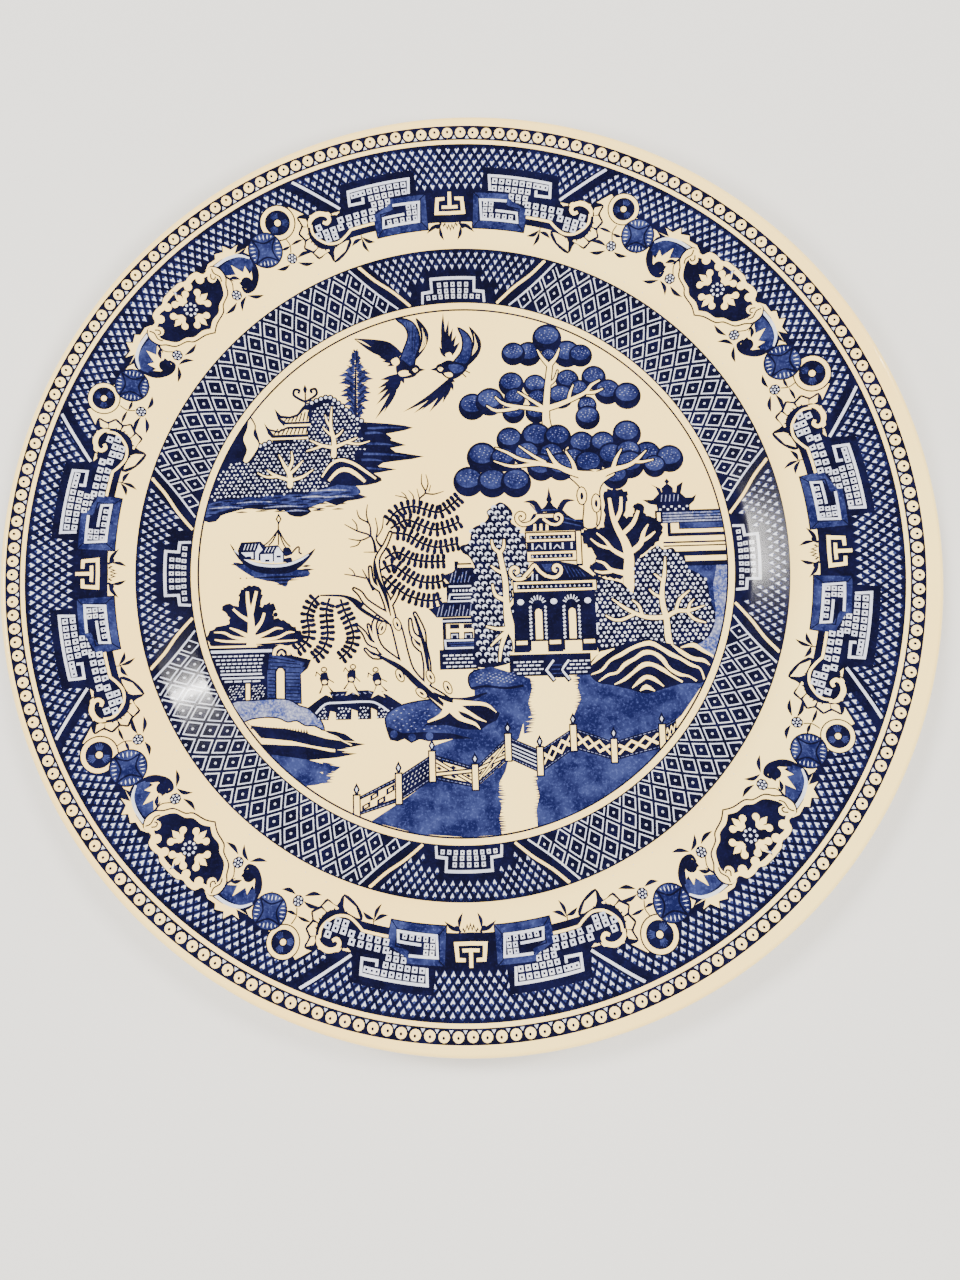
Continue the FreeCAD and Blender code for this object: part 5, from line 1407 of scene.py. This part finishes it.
def boat(pen):
    """The covered boat, with its mast and stays, over its reflection and ripples."""
    pen.blob(WASH, [(-67.0, 2.9), (-64.0, 2.6), (-58.0, 0.4), (-46.0, 0.4), (-44.6, -1.6), (-50.0, -2.4),
                    (-51.4, -4.6), (-54.4, -3.2), (-60.0, -1.9), (-64.0, 0.4)], 3)
    for x0, x1, y in ((-62.4, -45.0, -1.7), (-57.4, -47.6, -2.7), (-47.6, -43.0, 0.2), (-46.6, -44.0, 1.3),
                      (-54.0, -50.6, -3.8), (-67.6, -63.0, 2.4)):
        pen.leaf(INK, x0, y, x1, y + 0.1, 0.7)
    for x in (-64.8, -63.0):
        pen.disc(INK, x, -1.7, 0.3, 0.2, sides=6)
    pen.blob(INK, [(-67.9, 8.7), (-65.4, 5.6), (-62.0, 3.4), (-57.0, 2.4), (-52.0, 2.3), (-47.4, 3.6),
                   (-44.4, 5.2), (-42.6, 6.4), (-44.6, 3.4), (-48.4, 0.2), (-53.0, -0.8), (-60.0, 0.0),
                   (-64.4, 3.0), (-66.6, 6.0)], 3)
    pen.brush(MIST, [(-66.6, 6.6, 0.3), (-62.0, 3.1, 0.75), (-57.0, 1.8, 0.8), (-51.6, 1.8, 0.8),
                     (-47.4, 3.1, 0.7), (-44.6, 4.7, 0.3)], 4)
    pen.fill(INK, [(-65.6, 6.5), (-64.6, 8.9), (-58.8, 9.0), (-57.4, 7.6), (-53.6, 7.8), (-51.8, 5.3),
                   (-51.8, 2.6), (-65.0, 4.0)])
    pen.fill(MIST, [(-64.6, 5.9), (-61.0, 5.9), (-61.0, 4.0), (-63.2, 4.6)])
    pen.fill(MIST, [(-60.4, 5.8), (-59.2, 8.1), (-58.2, 6.6), (-59.4, 5.4), (-59.4, 3.2), (-60.4, 3.5)])
    pen.fill(MIST, [(-58.8, 5.2), (-55.2, 5.2), (-55.2, 2.6), (-58.8, 2.9)])
    pen.fill(MIST, [(-54.8, 5.4), (-53.5, 7.3), (-52.2, 5.2), (-52.2, 2.7), (-54.8, 2.5)])
    for x, y in ((-62.2, 4.4), (-56.8, 3.3), (-53.4, 4.4)):
        pen.box(INK, x - 0.7, y - 0.35, x + 0.6, y + 0.3)
    hatch(pen, MIST, 0.22, [(-63.8 + k, 6.6, -63.2 + k, 8.3) for k in range(5)])
    hatch(pen, MIST, 0.22, [(-57.6 + k, 5.8, -56.8 + k, 7.2) for k in range(4)])
    for tip in ((-58.2, 7.6), (-56.4, 7.8), (-50.0, 7.2), (-51.4, 7.0)):
        pen.curve(INK, 0.42, [(-53.5, 12.4), ((tip[0] * 1.1 - 53.5 * 0.9) / 2, (tip[1] + 10.6) / 2), tip],
                  steps=3)
    pen.line(INK, 0.4, [(-53.5, 7.8), (-53.5, 14.6)])
    pen.fill(INK, [(-53.4, 17.2), (-52.5, 15.5), (-53.4, 13.8), (-54.3, 15.5)])
    pen.fill(BARE, [(-53.4, 16.3), (-52.95, 15.5), (-53.4, 14.7), (-53.85, 15.5)])
    pen.blob(INK, [(-52.2, 6.6), (-50.4, 7.0), (-49.6, 5.2), (-51.6, 4.4)], 3)
    pen.blob(INK, [(-52.0, 3.6), (-49.8, 4.0), (-49.6, 2.6), (-51.6, 2.6)], 3)
    pen.curve(INK, 0.5, [(-50.0, 4.8), (-48.2, 6.8), (-47.4, 6.9), (-47.4, 5.4), (-46.6, 5.0)], steps=3)


def left_tree(pen):
    """The dark tree over the gatehouse."""
    dark_bush(pen, [(-62.2, -4.0), (-59.2, -4.4), (-58.4, -7.0), (-59.0, -10.2), (-56.4, -9.1),
                    (-54.4, -10.4), (-55.2, -13.2), (-52.0, -14.4), (-48.8, -16.6), (-46.6, -18.8),
                    (-48.6, -21.4), (-60.0, -21.3), (-72.0, -21.6), (-74.6, -18.4), (-72.0, -15.8),
                    (-68.4, -15.0), (-68.4, -12.6), (-70.4, -10.4), (-68.6, -9.0), (-65.6, -9.8),
                    (-65.2, -6.6), (-64.2, -4.8)],
              [[(-61.6, -21.4, 3.0), (-61.6, -18.4, 2.3), (-61.8, -13.0, 1.7), (-62.6, -9.0, 1.1),
                (-62.8, -5.6, 0.9)],
               [(-61.6, -12.0, 1.3), (-60.8, -8.6, 1.0), (-60.1, -5.6, 0.9)],
               [(-62.2, -14.2, 1.2), (-64.8, -12.6, 0.9), (-67.0, -10.6, 0.7)],
               [(-61.0, -17.4, 1.4), (-58.8, -14.8, 1.0), (-57.8, -12.0, 0.8)],
               [(-62.0, -19.0, 1.3), (-65.4, -17.2, 0.9), (-68.0, -16.1, 0.4)],
               [(-62.0, -19.8, 1.1), (-67.0, -18.8, 0.8), (-69.6, -17.5, 0.7), (-72.6, -17.3, 0.3)],
               [(-62.0, -20.2, 0.8), (-69.0, -20.0, 0.7), (-72.4, -19.4, 0.4)],
               [(-61.0, -19.4, 1.4), (-57.0, -17.8, 0.9), (-54.4, -16.6, 0.7), (-52.4, -16.8, 0.3)],
               [(-60.6, -20.0, 1.1), (-54.4, -19.4, 0.8), (-51.0, -17.9, 0.7), (-49.0, -17.9, 0.3)],
               [(-60.0, -20.6, 0.7), (-54.0, -20.4, 0.6), (-48.2, -20.2, 0.4)]], 1.0)
    pen.disc(INK, -54.5, -12.6, 0.7, sides=8)


def centre_scene(shapes):
    """The whole landscape, far things first, trimmed to the circle that frames it."""
    pen = Pen(shapes, lambda x, y: (x, y), reach=3.0)
    for draw in (island, boat, left_tree, gatehouse, gate_bank, water, far_house, crag_tree, orchard, mound,
                 side_house, scallop_tree, pagoda, orange_tree, bridge, bank, willow, fence, left_bird,
                 right_bird):
        draw(pen)
    hoop(shapes, BARE, 84.0, 77.0)


# --- flat artwork to mesh --------------------------------------------------------------------------

PRINT_SHIFT = (-1.41, 0.26)  # the transfers sit a little off the plate's middle
PRINT_TURN = math.radians(1.61)
PRINT_LIFT = 0.045  # above the glaze, so that the print covers it
UV_SPAN = 270.0  # millimetres across that the prints' UV map covers
SAME_POINT = 0.002  # points nearer than this are drawn as one
RING_POINTS = 3.2  # points to each millimetre of radius of a circle that guides the triangles
MM = 0.001


def on_plate(x, y):
    """Where a point of the drawing lies on the plate."""
    cos, sin = math.cos(PRINT_TURN), math.sin(PRINT_TURN)
    return Vector((PRINT_SHIFT[0] + x * cos - y * sin, PRINT_SHIFT[1] + x * sin + y * cos))


def ring_edges(points, radii):
    """Add circles about the plate's axis, which make the print's triangles follow its curves."""
    edges = []
    for radius in radii:
        count = int(radius * RING_POINTS)
        first = len(points)
        for k in range(count):
            angle = 2 * math.pi * k / count
            points.append(Vector((radius * math.cos(angle), radius * math.sin(angle))))
            edges.append((first + k, first + (k + 1) % count))
    return edges


CELL = 1.5  # size of the search squares that sort outlines by place


def sort_by_place(outlines):
    """The numbers of the outlines near each search square, last drawn first."""
    squares = {}
    for number, outline in enumerate(outlines):
        xs, ys = [p[0] for p in outline], [p[1] for p in outline]
        for i in range(int(min(xs) // CELL), int(max(xs) // CELL) + 1):
            for j in range(int(min(ys) // CELL), int(max(ys) // CELL) + 1):
                squares.setdefault((i, j), []).append(number)
    for numbers in squares.values():
        numbers.reverse()
    return squares


def flatten(shapes, radii):
    """Cut overlapping outlines into triangles, each in the tone of the last outline drawn over it."""
    points, edges, outlines, tones = [], [], [], []
    for tone, outline in shapes:
        placed = [on_plate(x, y) for x, y in outline]
        kept = [p for p, q in zip(placed, placed[1:] + placed[:1]) if (p - q).length > SAME_POINT]
        if len(kept) > 2:
            first, count = len(points), len(kept)
            edges += [(first + k, first + (k + 1) % count) for k in range(count)]
            points += kept
            outlines.append([tuple(p) for p in kept])
            tones.append(tone)
    squares = sort_by_place(outlines)
    edges += ring_edges(points, radii)
    flat, _, triangles, _, _, _ = delaunay_2d_cdt(points, edges, [], 0, 1e-5)
    by_tone = {}
    for triangle in triangles:
        x, y = (sum(flat[v][k] for v in triangle) / 3 for k in (0, 1))
        for number in squares.get((int(x // CELL), int(y // CELL)), ()):
            if inside(outlines[number], x, y):
                by_tone.setdefault(tones[number], []).append(triangle)
                break
    by_tone.pop(BARE, None)
    return flat, by_tone


# --- the plate's section ---------------------------------------------------------------------------
# Corners are (radius, height, round) in millimetres, from the middle of the face, over the lip, to
# the middle of the recess under the plate.

GLAZE = 0.25  # how thick the glaze is
BARE_FOOT = 0.6  # the foot ring has no glaze below this height
SPLIT = 70.8  # the middle of the foot ring parts the face's glaze from the recess's
ARC_STEP = 0.4
STRAIGHT_STEP = 4.0


def along(angle, length, point):
    """The point a length away from another, at an angle."""
    return point[0] + length * math.cos(angle), point[1] + length * math.sin(angle)


def section_corners():
    """The corners of the plate's body."""
    verge, well, lip = (93.0, 16.4), (79.0, 7.3), (128.05, 22.05)
    lip_round, wall, under_round = 1.7, 4.3, 14.0
    lip_under = 19.95  # height of the underside at the lip
    recess = 2.7  # height of the underside inside and outside the foot ring
    outer_root, outer_foot, inner_foot, inner_root = 73.0, 72.4, 69.2, 68.6
    foot_round, root_round = 0.9, 1.2
    wall_slope = math.atan2(verge[1] - well[1], verge[0] - well[0])
    reach = math.dist(verge, lip)
    rim_slope = math.atan2(lip[1] - verge[1], lip[0] - verge[0]) + math.asin(lip_round / reach)
    lip_radius = lip[0] + lip_round
    lip_top = verge[1] + (lip_radius - verge[0]) * math.tan(rim_slope)
    half = (wall_slope - rim_slope) / 2
    middle = (wall_slope + rim_slope) / 2
    under_verge = (verge[0] + wall * math.sin(middle) / math.cos(half),
                   verge[1] - wall * math.cos(middle) / math.cos(half))
    drop = (under_verge[1] - recess) / math.sin(wall_slope)
    under_well = along(wall_slope, -drop, under_verge)
    under_slope = math.atan2(lip_under - under_verge[1], lip_radius - under_verge[0])
    lip_bottom = under_verge[1] + (lip_radius - under_verge[0]) * math.tan(under_slope)
    return [
        (0.0, well[1], 0.0),
        (*well, 13.0),
        (*verge, 11.0),
        (lip_radius, lip_top, lip_round),
        (lip_radius, lip_bottom, lip_round),
        (*under_verge, under_round),
        (*under_well, under_round),
        (outer_root, recess, root_round),
        (outer_foot, 0.0, foot_round),
        (inner_foot, 0.0, foot_round),
        (inner_root, recess, root_round),
        (0.0, recess, 0.0),
    ]


def section(offset):
    """Points (radius, height, normal) along the section, moved outwards by an offset."""
    corners = section_corners()
    points = []

    def add(r, z, angle):
        """Add a point where the section runs at an angle."""
        nr, nz = -math.sin(angle), math.cos(angle)
        points.append((r + nr * offset, z + nz * offset, nr, nz))

    def straight(start, end, angle):
        """Add the points between the ends of a straight stretch."""
        count = max(1, int(math.dist(start, end) / STRAIGHT_STEP))
        for k in range(1, count):
            add(*(s + (e - s) * k / count for s, e in zip(start, end)), angle)

    heading = 0.0
    last = corners[0][:2]
    add(*last, heading)
    for before, corner, after in zip(corners, corners[1:], corners[2:]):
        r, z, radius = corner
        heading = math.atan2(z - before[1], r - before[0])
        turn = math.atan2(after[1] - z, after[0] - r) - heading
        turn = (turn + math.pi) % (2 * math.pi) - math.pi
        side = math.copysign(1, turn)
        start = along(heading, -radius * math.tan(abs(turn) / 2), (r, z))
        straight(last, start, heading)
        centre = along(heading + side * math.pi / 2, radius, start)
        steps = max(6, int(radius * abs(turn) / ARC_STEP))
        for k in range(steps + 1):
            angle = heading + turn * k / steps
            last = along(angle - side * math.pi / 2, radius, centre)
            add(*last, angle)
    straight(last, corners[-1][:2], math.pi)
    add(*corners[-1][:2], math.pi)
    return points


def cut_at_foot(points):
    """Split a section at the bare foot: the part over the face, and the part in the recess."""
    face, recess = [], []
    for p, q in zip(points, points[1:]):
        part = face if (p[0] > SPLIT or p[3] > 0) and not recess else recess
        if p[1] >= BARE_FOOT and (part is face or p[3] <= 0 or p[0] < SPLIT):
            part.append(p)
        if (p[1] - BARE_FOOT) * (q[1] - BARE_FOOT) < 0:
            t = (BARE_FOOT - p[1]) / (q[1] - p[1])
            crossing = tuple(a + (b - a) * t for a, b in zip(p, q))
            (face if p[1] > q[1] else recess).append(crossing)
    recess.append(points[-1])
    return face, recess


OUTSIDE = section(GLAZE)
INSIDE = section(0.0)
FACE, RECESS = cut_at_foot(OUTSIDE)
FACE_BASE, RECESS_BASE = cut_at_foot(INSIDE)


def face_at(radius):
    """Height and normal of the glazed face at a radius."""
    for p, q in zip(FACE, FACE[1:]):
        if p[0] <= radius <= q[0]:
            t = (radius - p[0]) / max(q[0] - p[0], 1e-9)
            return [a + (b - a) * t for a, b in zip(p[1:], q[1:])]
    return FACE[0][1:]


# --- meshes ----------------------------------------------------------------------------------------

AROUND = 360  # points in a turned piece's circles


def new_object(name, verts, faces, normals, uvs, material):
    """A smooth mesh object with its own normals and a flat UV map."""
    mesh = bpy.data.meshes.new(name)
    mesh.from_pydata(verts, [], faces)
    layer = mesh.uv_layers.new(name="OFBake")
    corners = [0] * len(mesh.loops)
    mesh.loops.foreach_get("vertex_index", corners)
    layer.data.foreach_set("uv", [value for index in corners for value in uvs[index]])
    mesh.polygons.foreach_set("use_smooth", [True] * len(mesh.polygons))
    mesh.normals_split_custom_set_from_vertices(normals)
    mesh.materials.append(material)
    piece = bpy.data.objects.new(name, mesh)
    bpy.context.scene.collection.objects.link(piece)
    return piece


def lathe(name, loop, material):
    """Turn a section (radius, height, normal) round the plate's axis."""
    verts, normals, uvs, faces, rings = [], [], [], [], []
    for r, z, nr, nz in loop:
        rings.append(len(verts))
        for k in range(1 if r < 1e-6 else AROUND):
            angle = 2 * math.pi * k / AROUND
            cos, sin = math.cos(angle), math.sin(angle)
            verts.append((r * cos * MM, r * sin * MM, z * MM))
            normals.append(Vector((nr * cos, nr * sin, nz)).normalized())
            u, v = 0.25 + r * cos / (2 * UV_SPAN), 0.25 + r * sin / (2 * UV_SPAN)
            uvs.append((u, v + (0.5 if nz < 0 else 0.0)))
    for a in range(len(loop)):
        b = (a + 1) % len(loop)
        single_a, single_b = loop[a][0] < 1e-6, loop[b][0] < 1e-6
        if single_a and single_b:
            continue
        for k in range(AROUND):
            j = (k + 1) % AROUND
            a0, a1 = (rings[a], rings[a]) if single_a else (rings[a] + k, rings[a] + j)
            b0, b1 = (rings[b], rings[b]) if single_b else (rings[b] + k, rings[b] + j)
            if single_a:
                faces.append((a0, b0, b1))
            elif single_b:
                faces.append((a0, b0, a1))
            else:
                faces.append((a0, b0, b1, a1))
    return new_object(name, verts, faces, normals, uvs, material)


def shell(outer, base):
    """The closed section of a glaze layer: out along its surface and back along the body."""
    return outer + [(r, z, -nr, -nz) for r, z, nr, nz in reversed(base)]


def print_piece(name, flat, triangles, material):
    """A thin printed patch that follows the face."""
    index, verts, normals, uvs, faces = {}, [], [], [], []
    for triangle in triangles:
        for v in triangle:
            if v not in index:
                index[v] = len(verts)
                x, y = flat[v]
                radius = math.hypot(x, y)
                z, nr, nz = face_at(radius)
                cos, sin = (x / radius, y / radius) if radius > 1e-6 else (1.0, 0.0)
                normal = Vector((nr * cos, nr * sin, nz)).normalized()
                verts.append((Vector((x, y, z)) + normal * PRINT_LIFT) * MM)
                normals.append(normal)
                uvs.append((0.5 + x / UV_SPAN, 0.5 + y / UV_SPAN))
        faces.append([index[v] for v in triangle])
    return new_object(name, verts, faces, normals, uvs, material)


# --- materials -------------------------------------------------------------------------------------


def linear(red, green, blue):
    """A colour given in the 0-255 values of a screen."""
    values = [c / 255 for c in (red, green, blue)]
    return (*(c / 12.92 if c <= 0.04045 else ((c + 0.055) / 1.055) ** 2.4 for c in values), 1.0)


class Nodes:
    """Short names for building one material."""

    def __init__(self, name):
        """Start a material whose textures follow the object's own coordinates."""
        self.material = bpy.data.materials.new(name)
        self.material.use_nodes = True
        self.tree = self.material.node_tree
        self.shader = self.tree.nodes["Principled BSDF"]
        self.place = self.tree.nodes.new("ShaderNodeTexCoord").outputs["Object"]

    def link(self, source, target):
        """Join an output to an input."""
        self.tree.links.new(source, target)

    def noise(self, scale, detail=2.0, rough=0.5):
        """Fine cloudy noise over the surface."""
        node = self.tree.nodes.new("ShaderNodeTexNoise")
        node.inputs["Scale"].default_value = scale
        node.inputs["Detail"].default_value = detail
        node.inputs["Roughness"].default_value = rough
        self.link(self.place, node.inputs["Vector"])
        return node.outputs["Fac"]

    def ramp(self, value, stops):
        """Colours given at stops along a value."""
        node = self.tree.nodes.new("ShaderNodeValToRGB")
        for k, (position, colour) in enumerate(stops):
            stop = node.color_ramp.elements[k] if k < 2 else node.color_ramp.elements.new(position)
            stop.position = position
            stop.color = colour
        self.link(value, node.inputs["Fac"])
        return node.outputs["Color"]

    def mix(self, factor, first, second):
        """A blend of two colours."""
        node = self.tree.nodes.new("ShaderNodeMix")
        node.data_type = "RGBA"
        for socket, value in ((node.inputs[0], factor), (node.inputs[6], first), (node.inputs[7], second)):
            if isinstance(value, (float, tuple)):
                socket.default_value = value
            else:
                self.link(value, socket)
        return node.outputs[2]

    def bump(self, height, strength, distance):
        """Raise the surface a little by a height."""
        node = self.tree.nodes.new("ShaderNodeBump")
        node.inputs["Strength"].default_value = strength
        node.inputs["Distance"].default_value = distance
        self.link(height, node.inputs["Height"])
        self.link(node.outputs["Normal"], self.shader.inputs["Normal"])

    def finish(self, colour, roughness, coat=0.0):
        """Set the shader and return the material."""
        self.link(colour, self.shader.inputs["Base Color"])
        self.shader.inputs["Roughness"].default_value = roughness
        self.shader.inputs["IOR"].default_value = 1.52
        self.shader.inputs["Coat Weight"].default_value = coat
        self.shader.inputs["Coat Roughness"].default_value = 0.05
        return self.material


def glazed(nodes, colour):
    """The gloss and the faintly uneven surface of the glaze."""
    nodes.bump(nodes.noise(160), strength=0.05, distance=0.0002)
    return nodes.finish(colour, roughness=0.14, coat=0.3)


def glaze_material(name):
    """Glossy ivory lead glaze, faintly uneven in tone."""
    nodes = Nodes(name)
    tone = nodes.ramp(nodes.noise(14, detail=3.0), [(0.3, linear(255, 216, 128)),
                                                    (0.7, linear(255, 225, 142))])
    return glazed(nodes, tone)


def print_material(name, dark, light, cover):
    """Cobalt under glaze, mottled where the colour took unevenly."""
    nodes = Nodes(name)
    grain = nodes.ramp(nodes.noise(1300, detail=3.0, rough=0.75), [(cover, dark), (cover + 0.2, light)])
    patch = nodes.ramp(nodes.noise(170, detail=3.0, rough=0.6), [(0.42, dark), (0.66, light)])
    return glazed(nodes, nodes.mix(0.4, grain, patch))


def biscuit_material():
    """Fired earthenware without glaze, finely granular."""
    nodes = Nodes("biscuit")
    tone = nodes.ramp(nodes.noise(900, detail=4.0), [(0.35, linear(214, 198, 166)),
                                                     (0.65, linear(232, 219, 192))])
    nodes.bump(nodes.noise(2500), strength=0.3, distance=0.0001)
    return nodes.finish(tone, roughness=0.85)


# --- the plate -------------------------------------------------------------------------------------


def show(piece, node):
    """Put a piece on the plate's body, in place of its CAD node."""
    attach(piece, "root")
    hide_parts(node)


def build_plate():
    """The fired body and the two parts of its glaze."""
    show(lathe("body", INSIDE, biscuit_material()), "earthenware_body")
    show(lathe("glaze_face", shell(FACE, FACE_BASE), glaze_material("glaze")), "face_glaze")
    show(lathe("glaze_recess", shell(RECESS, RECESS_BASE), glaze_material("recess_glaze")), "recess_glaze")


def build_prints():
    """Each printed film as one piece to a tone."""
    tones = {
        INK: (linear(3, 3, 24), linear(14, 15, 56), 0.52),
        WASH: (linear(12, 15, 56), linear(66, 76, 126), 0.52),
        STIPPLE: (linear(44, 56, 112), linear(164, 166, 180), 0.46),
        MIST: (linear(178, 183, 203), linear(224, 222, 213), 0.5),
    }
    regions = (
        ("rim_print", "rim_border_transfer", rim_border, [91.5 + k * 1.3 for k in range(3)]),
        ("verge_print", "verge_border_transfer", verge_border, [75.0 + k * 1.25 for k in range(17)]),
        ("scene_print", "centre_scene_transfer", centre_scene, [75.2, 76.4, 77.6]),
    )
    for slot, node, draw, radii in regions:
        shapes = []
        draw(shapes)
        flat, by_tone = flatten(shapes, radii)
        for tone, triangles in by_tone.items():
            material = print_material(f"{slot}_{tone}", *tones[tone])
            show(print_piece(f"{slot}_{tone}", flat, triangles, material), node)


# --- stage, light and camera -----------------------------------------------------------------------


def floor():
    """A plain pale floor."""
    nodes = Nodes("floor")
    tone = nodes.ramp(nodes.noise(3), [(0.3, linear(205, 204, 201)), (0.7, linear(211, 210, 207))])
    bpy.ops.mesh.primitive_plane_add(size=6.0, location=(0, 0, 0))
    plane = bpy.context.object
    plane.name = "floor"
    plane.data.materials.append(nodes.finish(tone, roughness=0.6))


def lamp(name, azimuth, elevation, distance, size, power):
    """A rectangular area light that faces the plate."""
    data = bpy.data.lights.new(name, "AREA")
    data.shape = "RECTANGLE"
    data.size, data.size_y = size
    data.energy = power
    data.color = (1.0, 0.97, 0.92)
    light = bpy.data.objects.new(name, data)
    a, e = math.radians(azimuth), math.radians(elevation)
    spot = Vector((math.cos(a) * math.cos(e), math.sin(a) * math.cos(e), math.sin(e))) * distance
    light.location = spot
    light.rotation_euler = spot.to_track_quat("Z", "Y").to_euler()
    bpy.context.scene.collection.objects.link(light)
    return light


def lights():
    """Two small windows, which show as streaks on the verge, and four soft lamps."""
    lamp("window_left", azimuth=178, elevation=41, distance=1.6, size=(0.3, 0.035), power=4.5)
    lamp("window_right", azimuth=31, elevation=41, distance=1.6, size=(0.035, 0.2), power=3.5)
    for k in range(4):
        power = 48 if k % 2 else 37
        soft = lamp(f"soft_{k}", azimuth=45 + 90 * k, elevation=57, distance=2.0, size=(0.3, 0.3),
                    power=power)
        soft.visible_glossy = False  # the glaze doesn't mirror it
    world = bpy.data.worlds.new("room")
    world.use_nodes = True
    world.node_tree.nodes["Background"].inputs["Color"].default_value = (1.0, 0.97, 0.93, 1.0)
    world.node_tree.nodes["Background"].inputs["Strength"].default_value = 0.16
    bpy.context.scene.world = world


def camera():
    """A hand-held view from just above the plate, leaning a little towards its far side."""
    data = bpy.data.cameras.new("camera")
    data.sensor_fit = "VERTICAL"
    data.sensor_height = 36.0
    data.lens = 26.72
    data.shift_x, data.shift_y = 0.0192, -0.0795
    data.clip_start = 0.01
    view = bpy.data.objects.new("camera", data)
    place, lean_left, lean_far = (0.00578, -0.02244, 0.28386), 0.0318, 0.1110
    lean = Matrix.Rotation(lean_left, 4, "Y") @ Matrix.Rotation(lean_far, 4, "X")
    view.matrix_world = Matrix.Translation(place) @ lean
    bpy.context.scene.collection.objects.link(view)
    bpy.context.scene.camera = view


build_plate()
build_prints()
floor()
lights()
camera()
